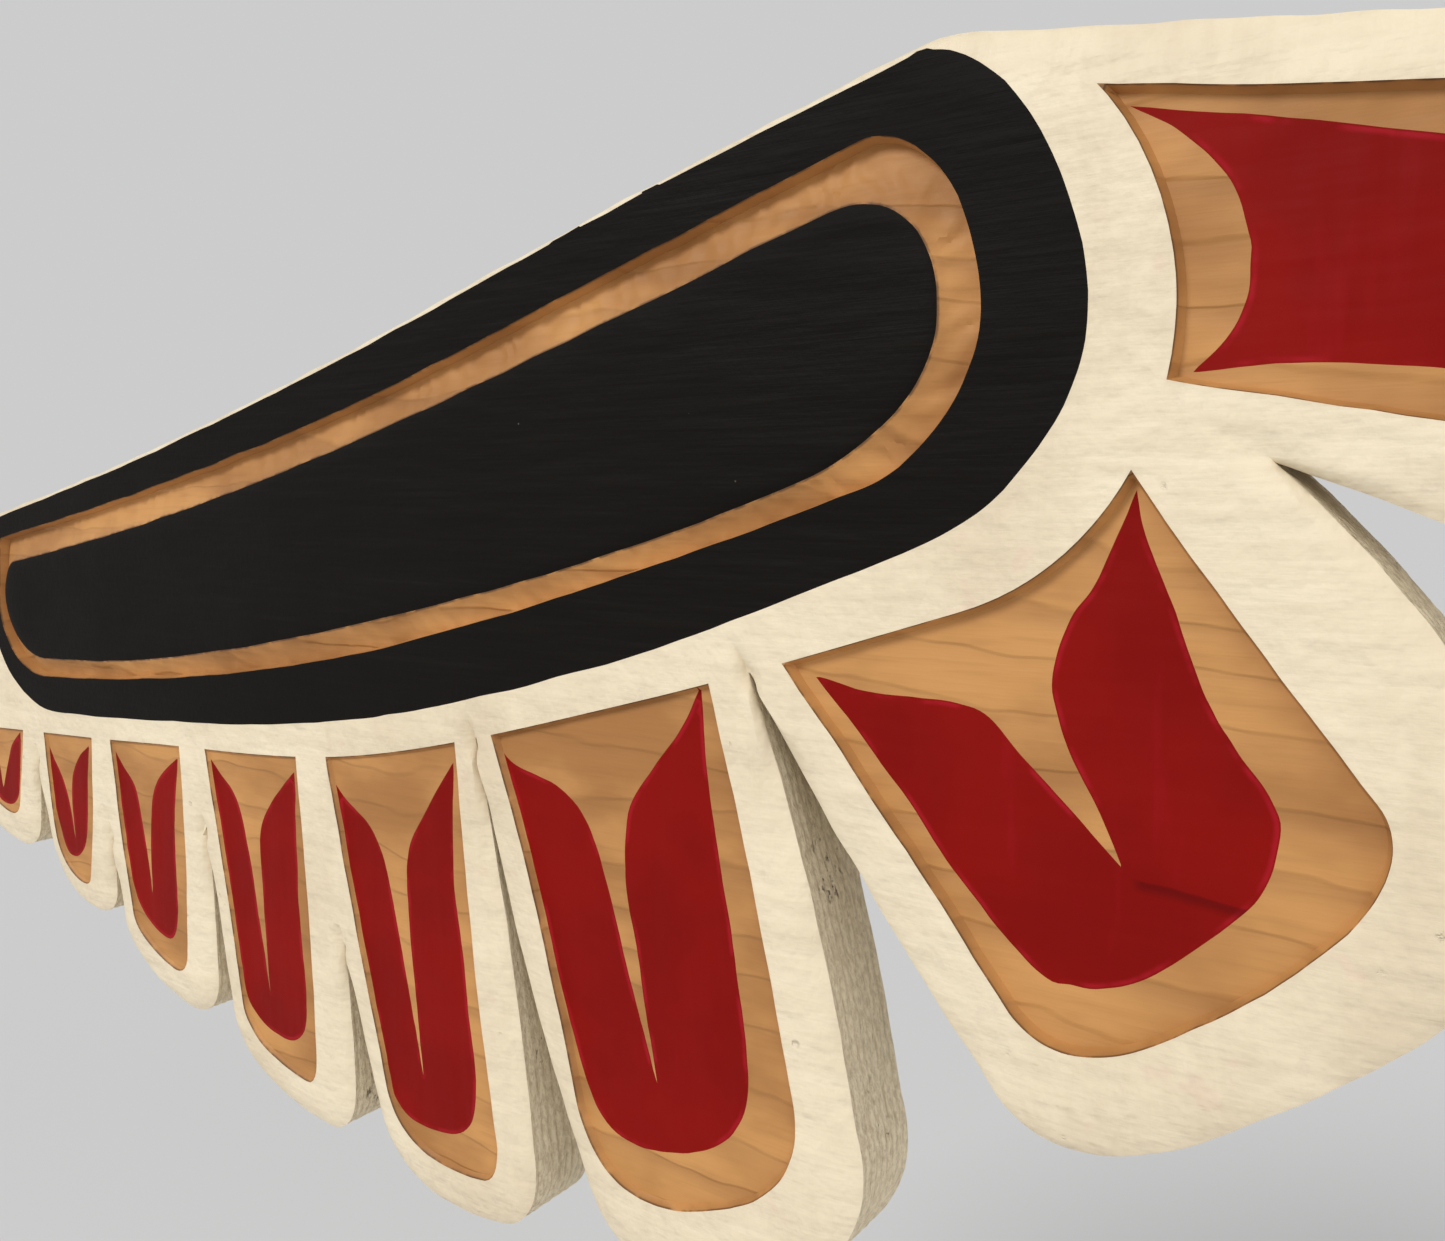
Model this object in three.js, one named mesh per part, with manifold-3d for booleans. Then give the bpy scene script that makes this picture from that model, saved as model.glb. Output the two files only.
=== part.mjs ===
// Carved wooden wing of a totem pole: one flat board with feathers hanging from a long tapering arm.
// Millimetres. X runs from the root cut to the wing tip, Z is up and -Y is the carved front.
// The origin is on the root cut, halfway through the board.

import * as THREE from 'three';
import { mergeVertices } from 'three/addons/utils/BufferGeometryUtils.js';
import Module from 'manifold-3d';

// Board
const boardThickness = 19;
const collarRounding = { run: 1, depth: 1.3 };
const featherRounding = { run: 3, depth: 1.8 };
const roundingSteps = 3;

// Arm: the long form along the top. Heights are at equal stations from its root end to its far end.
const armStart = 13;
const armLength = 324;
const armTop = [28.3, 44.8, 64.8, 87.5, 108];
const armBottom = [-25, -21.2, -13, 7.3, 38];

// Collar: the plain band round the arm that the feathers hang from.
const collarTop = 1.5;
const collarBottom = [6.5, 6, 8, 8.6, 14];
const collarEnd = 12;
const collarFarEnd = { topRun: 38, bottomRun: 31, split: 0.6, topPower: 1.75, bottomPower: 2.2 };

// Band between the arm's edge and the carved groove.
const bandTop = [5.8, 8, 10.6, 10.3, 7];
const bandBottom = [9.5, 10.6, 14.2, 15, 10.6];
const bandNear = 7.5;
const bandFar = 16;

// Groove: a steep outer wall, and a floor that rises to the raised inner form.
const grooveTop = [7.5, 8.3, 7.7, 8.4, 8];
const grooveBottom = [5, 5, 6.5, 4.8, 5.8];
const grooveNear = 3;
const grooveFar = 7;
const grooveDepth = 2.7;
const grooveLip = 0.4;
const grooveOuterNearEnd = { topRun: 3, bottomRun: 25, split: 0.46, topPower: 2, bottomPower: 2 };
const grooveOuterFarEnd = { topRun: 21, bottomRun: 20, split: 0.63, topPower: 1.8, bottomPower: 2 };
const grooveInnerNearEnd = { topRun: 6, bottomRun: 22, split: 0.3, topPower: 2, bottomPower: 2 };
const grooveInnerFarEnd = { topRun: 22, bottomRun: 24, split: 0.61, topPower: 2.2, bottomPower: 2 };

// Sunk panels inside the feathers' raised rims.
const panelDepth = 2.2;
const panelWallRun = 0.8;

// Feathers, one number each, from the root cut out to the wing tip. A feather's near side is the one
// towards the root cut and its far side the one towards the tip.
// Roots: each one's part of the line that the roots follow, the part of that line left past the last one,
// how far each middle sits above the line, and how far each reaches in under the collar.
const rootParts = [36, 35.5, 41.7, 48.2, 51.2, 67, 82, 75.5];
const spareRootPart = 4.9;
const rootLineParts = rootParts.reduce((sum, part) => sum + part, spareRootPart);
const rootRises = [1, -0.5, -0.5, -0.5, -0.5, 1.5, 3.5, 1.5];
const rootReaches = [9, 9, 9, 9, 9, 9, 9, 20];
const rootWidening = { near: [0, 0, 0, 0, 0, 0, 0, -8], far: [0, 0, 0, 0, 0, 0, 0, -8.8] };

// Blades: lean towards the tip, length, slant of the end and place of its middle across the blade.
const tiltDegrees = [0, 5, 7.5, 8.5, 15, 14, 31, 78.5];
const bladeLengths = [34, 47, 66.5, 85.5, 101, 110, 94, 111.5];
const slantDegrees = [12, 16, 21.5, 13.5, 5, 0, -3, 5.5];
const bladeCrowns = [1, 1, 1.5, 10.5, 4, -4, -5.5, -10.5];

// Blade sides: half width at the end, length of the end's rounding, and swell.
const bladeHalves = {
  near: [21, 17, 22.5, 22, 29.5, 25.5, 30.5, 39.3],
  far: [15, 15.5, 18.5, 22.5, 16.6, 39.5, 61.2, 30.8],
};
const bladeCorners = { near: [8, 19, 12, 17, 22.5, 21, 17.5, 43.5], far: [10, 10, 17, 19, 17, 30, 25.5, 38] };
const bladeBows = { near: [1, 2, 2, 0.5, 4.5, 5.5, 3.5, -5.5], far: [1.5, 1.5, 3, 3.5, 3.5, 5, 10, 0.5] };

// Rims: width beside the root, beside the end's corner and across the end, and the swell of the panel.
const rimRoots = { near: [6, 5, 5, 5.5, 5, 4, 5.5, 4.5], far: [5, 3.5, 4.5, 6, 2.5, 6.5, 7.5, 6.7] };
const rimCorners = { near: [9, 6, 8, 7, 6, 2.5, 10, 19.3], far: [8, 10, 10.5, 11.5, 8.6, 12, 20.2, 8.8] };
const rimEnds = [8.5, 6.5, 9, 9.5, 9.5, 15, 14.5, 14];
const panelBows = { near: [0.5, -0.5, 1.5, -1, 1, -4, -1, -0.5], far: [1, 2, 2.5, 1.5, -2.5, 1.5, -1.5, -2.5] };
const cornerFullness = 0.62;

// Fineness of the outlines
const cornerSteps = 6;
const edgeSteps = 12;
const featherSteps = 7;

// Clearance that cutters keep past the surface that they open.
const cutterReach = 3;

const frontY = -boardThickness / 2;
const armEnd = armStart + armLength;

// Height of an edge at x, from its values at equal stations along the arm.
function heightAt(stations, x) {
  const last = stations.length - 1;
  const share = (x - armStart) / armLength;
  const inside = THREE.MathUtils.clamp(share, 0, 1);
  const curve = new THREE.CatmullRomCurve3(
    stations.map((height, index) => new THREE.Vector3(index, height, 0)), false, 'catmullrom', 0.5);
  const step = share > 1 ? stations[last] - stations[last - 1] : stations[1] - stations[0];
  return curve.getPoint(inside).y + (share - inside) * last * step;
}

// One rounded corner of an arm-like form, from the edge out to the end of the form.
function formCorner(edge, end, direction, run, drop, power) {
  const points = [];
  for (let step = 0; step <= cornerSteps; step += 1) {
    const angle = (Math.PI / 2) * (step / cornerSteps);
    const x = end - direction * run * (1 - Math.sin(angle) ** (2 / power));
    points.push(new THREE.Vector2(x, edge(x) - drop * (1 - Math.cos(angle) ** (2 / power))));
  }
  return points;
}

// Points along an edge strictly between two places.
function edgePoints(edge, from, to) {
  const points = [];
  for (let step = 1; step < edgeSteps; step += 1) {
    const x = THREE.MathUtils.lerp(from, to, step / edgeSteps);
    points.push(new THREE.Vector2(x, edge(x)));
  }
  return points;
}

// Rounded end of an arm-like form, from its top edge round to its bottom edge.
function formEnd({ top, bottom }, end, direction, { topRun, bottomRun, split, topPower, bottomPower }) {
  const height = top(end) - bottom(end);
  return [
    ...formCorner(top, end, direction, topRun, height * split, topPower),
    ...formCorner(bottom, end, direction, bottomRun, -height * (1 - split), bottomPower).reverse().slice(1),
  ];
}

// Closed outline of an arm-like form between two edges, with its four corners rounded.
function formOutline(form) {
  const { top, bottom, start, end, near, far } = form;
  return [
    ...formEnd(form, end, 1, far),
    ...edgePoints(bottom, end - far.bottomRun, start + near.bottomRun),
    ...formEnd(form, start, -1, near).reverse(),
    ...edgePoints(top, start + near.topRun, end - far.topRun),
  ];
}

const collarBottomEdge = (x) => heightAt(armBottom, x) - heightAt(collarBottom, x);
const collarTopEdge = (x) => heightAt(armTop, x) + collarTop;
const grooveTopEdge = (x) => heightAt(armTop, x) - heightAt(bandTop, x);
const grooveBottomEdge = (x) => heightAt(armBottom, x) + heightAt(bandBottom, x);

const grooveOuter = {
  top: grooveTopEdge,
  bottom: grooveBottomEdge,
  start: armStart + bandNear,
  end: armEnd - bandFar,
  near: grooveOuterNearEnd,
  far: grooveOuterFarEnd,
};
const grooveInner = {
  top: (x) => grooveTopEdge(x) - heightAt(grooveTop, x),
  bottom: (x) => grooveBottomEdge(x) + heightAt(grooveBottom, x),
  start: grooveOuter.start + grooveNear,
  end: grooveOuter.end - grooveFar,
  near: grooveInnerNearEnd,
  far: grooveInnerFarEnd,
};

// The collar is rounded at its far end only: it runs on past the root cut, which trims it square.
const collar = { top: collarTopEdge, bottom: collarBottomEdge, start: -armStart, end: armEnd + collarEnd };

function collarOutline() {
  const { top, bottom, start, end } = collar;
  return [
    ...formEnd(collar, end, 1, collarFarEnd),
    ...edgePoints(bottom, end - collarFarEnd.bottomRun, 0),
    new THREE.Vector2(start, bottom(0)),
    new THREE.Vector2(start, top(0)),
    ...edgePoints(top, 0, end - collarFarEnd.topRun),
  ];
}

// Line that the feathers' roots share: the collar's lower edge from the root cut, round its far end.
function rootLine() {
  const { bottom, end } = collar;
  const points = [
    new THREE.Vector2(0, bottom(0)),
    ...edgePoints(bottom, 0, end - collarFarEnd.bottomRun),
    ...formEnd(collar, end, 1, collarFarEnd).reverse(),
  ];
  const line = new THREE.CurvePath();
  for (let index = 1; index < points.length; index += 1) {
    line.add(new THREE.LineCurve(points[index - 1], points[index]));
  }
  return line;
}

// Place of each feather's root: its middle and its half width.
function featherRoots() {
  const line = rootLine();
  let reached = 0;
  return rootParts.map((part, index) => {
    const from = line.getPoint(reached / rootLineParts);
    reached += part;
    const to = line.getPoint(reached / rootLineParts);
    const middle = from.clone().lerp(to, 0.5);
    middle.y += rootRises[index];
    return { middle, half: from.distanceTo(to) / 2 };
  });
}

// Closed outline of a feather, drawn in by a rim: roots, corners and end are the rim's widths, and bows
// the swell of its sides. u runs across the feather, from near to far, and v along it to its end.
function featherOutline(index, { roots, corners, end, bows }) {
  const { middle, half: rootHalf } = featherRoots()[index];
  const length = bladeLengths[index] - end;
  const rise = Math.tan(THREE.MathUtils.degToRad(slantDegrees[index]));
  const shrink = (name) => (bladeHalves[name][index] - corners[name]) / bladeHalves[name][index];
  const crown = bladeCrowns[index] * shrink('near');
  const side = (name, sign) => {
    const root = rootHalf + rootWidening[name][index] - roots[name];
    const half = bladeHalves[name][index] - corners[name];
    const corner = bladeCorners[name][index] * shrink(name);
    const endV = length + sign * rise * half;
    const startV = endV - corner;
    const startU = sign * THREE.MathUtils.lerp(root, half, startV / endV);
    const handleU = THREE.MathUtils.lerp(crown, sign * half, cornerFullness);
    return {
      root: new THREE.Vector2(sign * root, -rootReaches[index]),
      swell: new THREE.Vector2(
        (sign * root + startU) / 2 + sign * bows[name], (startV - rootReaches[index]) / 2),
      start: new THREE.Vector2(startU, startV),
      sideHandle: new THREE.Vector2(
        THREE.MathUtils.lerp(startU, sign * half, cornerFullness), startV + cornerFullness * corner),
      endHandle: new THREE.Vector2(handleU, length + rise * handleU),
    };
  };
  const near = side('near', -1);
  const far = side('far', 1);
  const tip = new THREE.Vector2(crown, length + rise * crown);
  const curves = [
    new THREE.QuadraticBezierCurve(near.root, near.swell, near.start),
    new THREE.CubicBezierCurve(near.start, near.sideHandle, near.endHandle, tip),
    new THREE.CubicBezierCurve(tip, far.endHandle, far.sideHandle, far.start),
    new THREE.QuadraticBezierCurve(far.start, far.swell, far.root),
  ];
  const local = curves.flatMap((curve, part) => curve.getPoints(featherSteps).slice(part === 0 ? 0 : 1));
  const tilt = THREE.MathUtils.degToRad(tiltDegrees[index]);
  const across = new THREE.Vector2(Math.cos(tilt), Math.sin(tilt));
  const along = new THREE.Vector2(Math.sin(tilt), -Math.cos(tilt));
  return local.map((point) => middle.clone().addScaledVector(across, point.x).addScaledVector(along, point.y));
}

// A feather's outer outline has no rim.
function bladeOutline(index) {
  return featherOutline(index, {
    roots: { near: 0, far: 0 },
    corners: { near: 0, far: 0 },
    end: 0,
    bows: { near: bladeBows.near[index], far: bladeBows.far[index] },
  });
}

// A feather's sunk panel lies inside its rim.
function panelOutline(index) {
  return featherOutline(index, {
    roots: { near: rimRoots.near[index], far: rimRoots.far[index] },
    corners: { near: rimCorners.near[index], far: rimCorners.far[index] },
    end: rimEnds[index],
    bows: { near: panelBows.near[index], far: panelBows.far[index] },
  });
}

const wasm = await Module();
wasm.setup();

// Closed three.js geometry as a solid that can be cut and joined.
function toSolid(geometry) {
  const bare = geometry.clone();
  bare.deleteAttribute('normal');
  bare.deleteAttribute('uv');
  const merged = mergeVertices(bare, 1e-4);
  return new wasm.Manifold(new wasm.Mesh({
    numProp: 3,
    vertProperties: new Float32Array(merged.attributes.position.array),
    triVerts: new Uint32Array(merged.index.array),
  }));
}

// Solid back to a three.js geometry with flat faces.
function toGeometry(solid) {
  const mesh = solid.getMesh();
  const geometry = new THREE.BufferGeometry();
  geometry.setAttribute('position', new THREE.BufferAttribute(mesh.vertProperties, 3));
  geometry.setIndex(new THREE.BufferAttribute(mesh.triVerts, 1));
  const flat = geometry.toNonIndexed();
  flat.computeVertexNormals();
  return flat;
}

// Outline in the plane of the front face, raised between two distances from that face, with its ends
// drawn in by run over depth.
function plate(outline, from, to, run, depth, steps) {
  const geometry = new THREE.ExtrudeGeometry(new THREE.Shape(outline), {
    depth: to - from,
    bevelEnabled: true,
    bevelSize: run,
    bevelOffset: -run,
    bevelThickness: depth,
    bevelSegments: steps,
    curveSegments: 1,
  });
  geometry.translate(0, 0, from);
  geometry.rotateX(Math.PI / 2);
  geometry.translate(0, frontY, 0);
  return toSolid(geometry);
}

// Closed ring between outlines that have their points in step, such as the groove's cutter.
function ringSolid(rings) {
  const count = rings[0].outline.length;
  const positions = [];
  for (const { outline, height } of rings) {
    for (const point of outline) {
      positions.push(point.x, frontY - height, point.y);
    }
  }
  const indices = [];
  for (let ring = 0; ring < rings.length; ring += 1) {
    const inner = ring * count;
    const outer = ((ring + 1) % rings.length) * count;
    for (let index = 0; index < count; index += 1) {
      const next = (index + 1) % count;
      indices.push(inner + index, inner + next, outer + index);
      indices.push(inner + next, outer + next, outer + index);
    }
  }
  const geometry = new THREE.BufferGeometry();
  geometry.setAttribute('position', new THREE.Float32BufferAttribute(positions, 3));
  geometry.setIndex(indices);
  return toSolid(geometry);
}

const join = (solids) => solids.reduce((whole, solid) => whole.add(solid));

// Board blank: collar and feathers, rounded along the front edges and trimmed flat behind and at the root.
function roundedPlate(outline, { run, depth }) {
  return plate(outline, -boardThickness - cutterReach - depth, -depth, run, depth, roundingSteps);
}
const blank = join([
  roundedPlate(collarOutline(), collarRounding),
  ...rootParts.map((part, index) => roundedPlate(bladeOutline(index), featherRounding)),
]);
const trimLength = 2 * (armEnd + collarEnd + Math.max(...bladeLengths));
const trim = new THREE.BoxGeometry(trimLength, boardThickness, 2 * trimLength);
trim.translate(trimLength / 2, 0, 0);
const board = blank.intersect(toSolid(trim));

// Sunk panels: each feather's panel, kept off the collar.
const panelCutters = join(rootParts.map((part, index) => plate(
  panelOutline(index), 0, cutterReach, panelWallRun, panelDepth, 1)));
const collarBlock = plate(collarOutline(), -boardThickness, boardThickness, 0, 1, 1);
const panels = panelCutters.subtract(collarBlock);

// Groove round the arm.
const outerLine = formOutline(grooveOuter);
const innerLine = formOutline(grooveInner);
const groove = ringSolid([
  { outline: outerLine, height: cutterReach },
  { outline: outerLine, height: -grooveDepth },
  { outline: innerLine, height: -grooveLip },
  { outline: innerLine, height: cutterReach },
]);

const wing = new THREE.Mesh(
  toGeometry(board.subtract(panels).subtract(groove)),
  new THREE.MeshStandardMaterial({ color: 0xeadfc6, roughness: 0.6, metalness: 0 }));
wing.name = 'wing';

const model = new THREE.Group();
model.add(wing);

export default model;
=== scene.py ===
"""Looks of a carved and painted totem pole wing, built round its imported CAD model.

The carving is laid out on the board's front face in millimetres, x along the wing and z up, and
becomes metres as each mesh is built. Depths run from the front face into the board.
"""

import logging
import math
from collections.abc import Callable
from dataclasses import dataclass, field
from enum import Enum

import bmesh
import bpy
import numpy as np
from mathutils import Matrix, Vector, geometry, kdtree, noise


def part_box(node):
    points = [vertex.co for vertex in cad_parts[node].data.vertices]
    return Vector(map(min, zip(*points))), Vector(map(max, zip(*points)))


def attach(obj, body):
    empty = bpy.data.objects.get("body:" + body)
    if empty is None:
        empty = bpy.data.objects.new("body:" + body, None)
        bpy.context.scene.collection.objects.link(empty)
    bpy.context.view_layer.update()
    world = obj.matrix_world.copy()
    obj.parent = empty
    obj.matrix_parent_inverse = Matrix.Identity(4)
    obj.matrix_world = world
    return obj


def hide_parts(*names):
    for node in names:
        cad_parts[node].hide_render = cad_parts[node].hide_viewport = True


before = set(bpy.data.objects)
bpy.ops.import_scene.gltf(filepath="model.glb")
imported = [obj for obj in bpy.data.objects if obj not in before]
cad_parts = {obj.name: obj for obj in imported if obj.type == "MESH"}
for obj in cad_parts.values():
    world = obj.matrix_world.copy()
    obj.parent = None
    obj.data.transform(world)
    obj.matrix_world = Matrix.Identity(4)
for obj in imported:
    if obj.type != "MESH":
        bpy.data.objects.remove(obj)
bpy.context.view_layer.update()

logging.basicConfig(level=logging.INFO, format="%(message)s")
log = logging.getLogger("wing")

MM = 0.001
FARTHEST_MARK = 12.0


class Finish(Enum):
    """Finishes of the wing, in the order of its material slots."""

    WHITE = 0
    BLACK = 1
    RED = 2
    WOOD = 3
    EDGE = 4
    BACK = 5


def smoothstep(value: np.ndarray) -> np.ndarray:
    """Ease from 0 to 1.

    Args:
        value: Place between 0 and 1, clamped where it lies outside.

    Returns:
        The eased place.
    """
    t = np.clip(value, 0.0, 1.0)
    return t * t * (3.0 - 2.0 * t)


def through(points: list, steps: int = 8) -> np.ndarray:
    """Smooth open curve through points.

    Args:
        points: Places that the curve passes, as (x, z).
        steps: Stretches between two places.

    Returns:
        The curve's points.
    """
    given = np.array(points, float)
    padded = np.vstack([2 * given[0] - given[1], given, 2 * given[-1] - given[-2]])
    curve = []
    for a, b, c, d in zip(padded, padded[1:], padded[2:], padded[3:]):
        for t in np.arange(steps) / steps:
            curve.append(0.5 * (2 * b + (c - a) * t + (2 * a - 5 * b + 4 * c - d) * t**2
                                + (3 * b - a - 3 * c + d) * t**3))
    curve.append(given[-1])
    return np.array(curve)


def arc_lengths(points: np.ndarray) -> np.ndarray:
    """Distance along a line of each of its points."""
    return np.concatenate([[0.0], np.cumsum(np.linalg.norm(np.diff(points, axis=0), axis=1))])


def resample(points: np.ndarray, spacing: float) -> np.ndarray:
    """Even points along an open line, its two ends kept.

    Args:
        points: Line's points.
        spacing: Distance between two new points, met as nearly as the length allows.

    Returns:
        The new points.
    """
    along = arc_lengths(points)
    count = max(2, int(round(along[-1] / spacing)) + 1)
    at = np.linspace(0.0, along[-1], count)
    return np.column_stack([np.interp(at, along, points[:, axis]) for axis in (0, 1)])


def closed(points: np.ndarray) -> np.ndarray:
    """Line with its first point repeated at the end."""
    return np.vstack([points, points[:1]])


def inside(points: np.ndarray, outline: np.ndarray) -> np.ndarray:
    """Which points lie in a closed outline.

    Args:
        points: Places to test.
        outline: Outline's points, without a repeated end.

    Returns:
        One truth value for each point.
    """
    x, z = points[:, 0], points[:, 1]
    result = np.zeros(len(points), bool)
    for (x0, z0), (x1, z1) in zip(outline, np.roll(outline, -1, axis=0)):
        if z0 == z1:
            continue
        crosses = (z0 > z) != (z1 > z)
        result ^= crosses & (x < (x1 - x0) * (z - z0) / (z1 - z0) + x0)
    return result


def distance(points: np.ndarray, line: np.ndarray) -> np.ndarray:
    """Distance of points from a line.

    Args:
        points: Places to measure.
        line: Line's points.

    Returns:
        One distance for each point.
    """
    nearest = np.full(len(points), np.inf)
    for start, end in zip(line, line[1:]):
        step = end - start
        length2 = max(float(step @ step), 1e-12)
        t = np.clip((points - start) @ step / length2, 0.0, 1.0)
        gap = points - start - t[:, None] * step
        nearest = np.minimum(nearest, np.einsum("ij,ij->i", gap, gap))
    return np.sqrt(nearest)


def normals(line: np.ndarray) -> np.ndarray:
    """Unit normals of a closed outline, to the right of its direction.

    Args:
        line: Outline's points, without a repeated end.

    Returns:
        One normal for each point.
    """
    along = np.roll(line, -1, axis=0) - np.roll(line, 1, axis=0)
    side = np.column_stack([along[:, 1], -along[:, 0]])
    return side / np.maximum(np.linalg.norm(side, axis=1), 1e-9)[:, None]


def area(outline: np.ndarray) -> float:
    """Area of a closed outline, positive where it runs anticlockwise."""
    x, z = outline[:, 0], outline[:, 1]
    return 0.5 * float(np.sum(x * np.roll(z, -1) - np.roll(x, -1) * z))


def anticlockwise(outline: np.ndarray) -> np.ndarray:
    """Outline turned, where it has to be, to run anticlockwise."""
    return outline if area(outline) > 0 else outline[::-1]


def grown(outline: np.ndarray, amount: float) -> np.ndarray:
    """Closed outline moved outwards, or inwards by a negative amount.

    Args:
        outline: Outline's points.
        amount: Distance to move them.

    Returns:
        The moved points, anticlockwise.
    """
    turned = anticlockwise(outline)
    return turned + normals(turned) * amount


def uneven(points: np.ndarray, *layers: tuple) -> np.ndarray:
    """Soft random value at each point, summed from layers.

    Args:
        points: Places of the plan.
        layers: Weight, size along x, size along z and seed of each layer.

    Returns:
        One value for each point.
    """
    result = np.zeros(len(points))
    for weight, wide, high, seed in layers:
        result += weight * np.array([noise.noise((x / wide, z / high, seed)) for x, z in points])
    return result


def hand_drawn(outline: np.ndarray, amount: float, seed: float) -> np.ndarray:
    """Closed outline with the small waver of a brush or a knife.

    Args:
        outline: Outline's points.
        amount: Size of the waver.
        seed: Number that sets this outline's waver apart from the others.

    Returns:
        The wavering outline, anticlockwise.
    """
    turned = anticlockwise(outline)
    shift = uneven(turned, (1.0, 11.0, 11.0, seed), (0.45, 3.1, 3.1, seed + 7.0))
    return turned + normals(turned) * (shift * amount)[:, None]


def triangulated(points: list, edges: list, tolerance: float) -> tuple:
    """Triangles between points, with some edges given.

    Args:
        points: Places of the plan.
        edges: Pairs of their numbers.
        tolerance: Distance within which two points become one.

    Returns:
        The points, the triangles, and the middle of each triangle.
    """
    verts, _, faces, *_ = geometry.delaunay_2d_cdt([Vector(p) for p in points], edges, [], 0, tolerance)
    flat = np.array([(v.x, v.y) for v in verts])
    return flat, faces, np.array([flat[list(f)].mean(axis=0) for f in faces])


@dataclass(frozen=True)
class FormEnd:
    """Rounded end of an arm-like form.

    Args:
        top_run: Length of the upper corner's rounding.
        bottom_run: Length of the lower corner's rounding.
        split: Share of the end's height that the upper corner takes.
        top_power: Fullness of the upper corner.
        bottom_power: Fullness of the lower corner.
    """

    top_run: float
    bottom_run: float
    split: float
    top_power: float = 2.0
    bottom_power: float = 2.0


@dataclass(frozen=True)
class Arm:
    """Long form along the top of the wing, its groove, and the collar round it."""

    start: float = 13.0
    length: float = 324.0
    top: tuple = (28.3, 44.8, 64.8, 87.5, 108.0)
    bottom: tuple = (-25.0, -21.2, -13.0, 7.3, 38.0)
    near_end: FormEnd = FormEnd(10.0, 37.0, 0.3)
    far_end: FormEnd = FormEnd(27.0, 24.0, 0.66, 1.65)
    collar_top: float = 1.5
    collar_bottom: tuple = (6.5, 6.0, 8.0, 8.6, 14.0)
    collar_reach: float = 12.0
    collar_far_end: FormEnd = FormEnd(38.0, 31.0, 0.6, 1.75, 2.2)
    band_top: tuple = (5.8, 8.0, 10.6, 10.3, 7.0)
    band_bottom: tuple = (9.5, 10.6, 14.2, 15.0, 10.6)
    band_near: float = 7.5
    band_far: float = 16.0
    groove_top: tuple = (7.5, 8.3, 7.7, 8.4, 8.0)
    groove_bottom: tuple = (5.0, 5.0, 6.5, 4.8, 5.8)
    groove_near: float = 3.0
    groove_far: float = 7.0
    groove_depth: float = 2.7
    groove_lip: float = 0.4
    groove_wall: float = 0.6
    outer_near: FormEnd = FormEnd(3.0, 25.0, 0.46)
    outer_far: FormEnd = FormEnd(21.0, 20.0, 0.63, 1.8)
    inner_near: FormEnd = FormEnd(6.0, 22.0, 0.3)
    inner_far: FormEnd = FormEnd(22.0, 24.0, 0.61, 2.2)
    corner_steps: int = 18
    edge_spacing: float = 4.0

    def height(self, stations: tuple, x: np.ndarray) -> np.ndarray:
        """Height of an edge along the arm.

        Args:
            stations: Heights at equal steps from the arm's start to its end.
            x: Places along the arm.

        Returns:
            The edge's height at each place.
        """
        given = np.array(stations, float)
        last = len(given) - 1
        padded = np.concatenate([[2 * given[0] - given[1]], given, [2 * given[-1] - given[-2]]])
        place = (np.asarray(x, float) - self.start) / self.length * last
        held = np.clip(place, 0.0, last)
        index = np.minimum(held.astype(int), last - 1)
        t = held - index
        a, b, c, d = (padded[index + shift] for shift in range(4))
        value = 0.5 * (2 * b + (c - a) * t + (2 * a - 5 * b + 4 * c - d) * t**2
                       + (3 * b - a - 3 * c + d) * t**3)
        slope = np.where(place > last, given[-1] - given[-2], given[1] - given[0])
        return value + (place - held) * slope

    @property
    def end(self) -> float:
        """Far end of the arm."""
        return self.start + self.length

    def black_edges(self) -> tuple:
        """Upper and lower edges of the black arm."""
        return lambda x: self.height(self.top, x), lambda x: self.height(self.bottom, x)

    def collar_edges(self) -> tuple:
        """Upper and lower edges of the collar."""
        return (
            lambda x: self.height(self.top, x) + self.collar_top,
            lambda x: self.height(self.bottom, x) - self.height(self.collar_bottom, x),
        )

    def groove_edges(self) -> tuple:
        """Upper and lower edges of the groove's outer line."""
        return (
            lambda x: self.height(self.top, x) - self.height(self.band_top, x),
            lambda x: self.height(self.bottom, x) + self.height(self.band_bottom, x),
        )

    def inner_edges(self) -> tuple:
        """Upper and lower edges of the raised form inside the groove."""
        top, bottom = self.groove_edges()
        return (
            lambda x: top(x) - self.height(self.groove_top, x),
            lambda x: bottom(x) + self.height(self.groove_bottom, x),
        )

    def corner(self, edge: Callable, end: float, direction: int, run: float, drop: float,
               power: float) -> np.ndarray:
        """Rounded corner of a form, from the edge out to the form's end.

        Args:
            edge: Function that gives the edge's height.
            end: Place of the form's end.
            direction: 1 for a far end and -1 for a near one.
            run: Length of the rounding.
            drop: Height that it takes, negative from a lower edge.
            power: Fullness of the rounding.

        Returns:
            The corner's points.
        """
        angle = np.linspace(0.0, math.pi / 2, self.corner_steps + 1)
        x = end - direction * run * (1.0 - np.sin(angle) ** (2.0 / power))
        return np.column_stack([x, edge(x) - drop * (1.0 - np.cos(angle) ** (2.0 / power))])

    def rounded_end(self, edges: tuple, end: float, direction: int, shape: FormEnd) -> np.ndarray:
        """Rounded end of a form, from its top edge round to its bottom edge.

        Args:
            edges: Functions of the form's two edges.
            end: Place of the end.
            direction: 1 for a far end and -1 for a near one.
            shape: Sizes of the rounding.

        Returns:
            The end's points.
        """
        top, bottom = edges
        height = float(top(end) - bottom(end))
        upper = self.corner(top, end, direction, shape.top_run, height * shape.split, shape.top_power)
        lower = self.corner(
            bottom, end, direction, shape.bottom_run, -height * (1.0 - shape.split), shape.bottom_power)
        return np.vstack([upper, lower[::-1][1:]])

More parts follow.
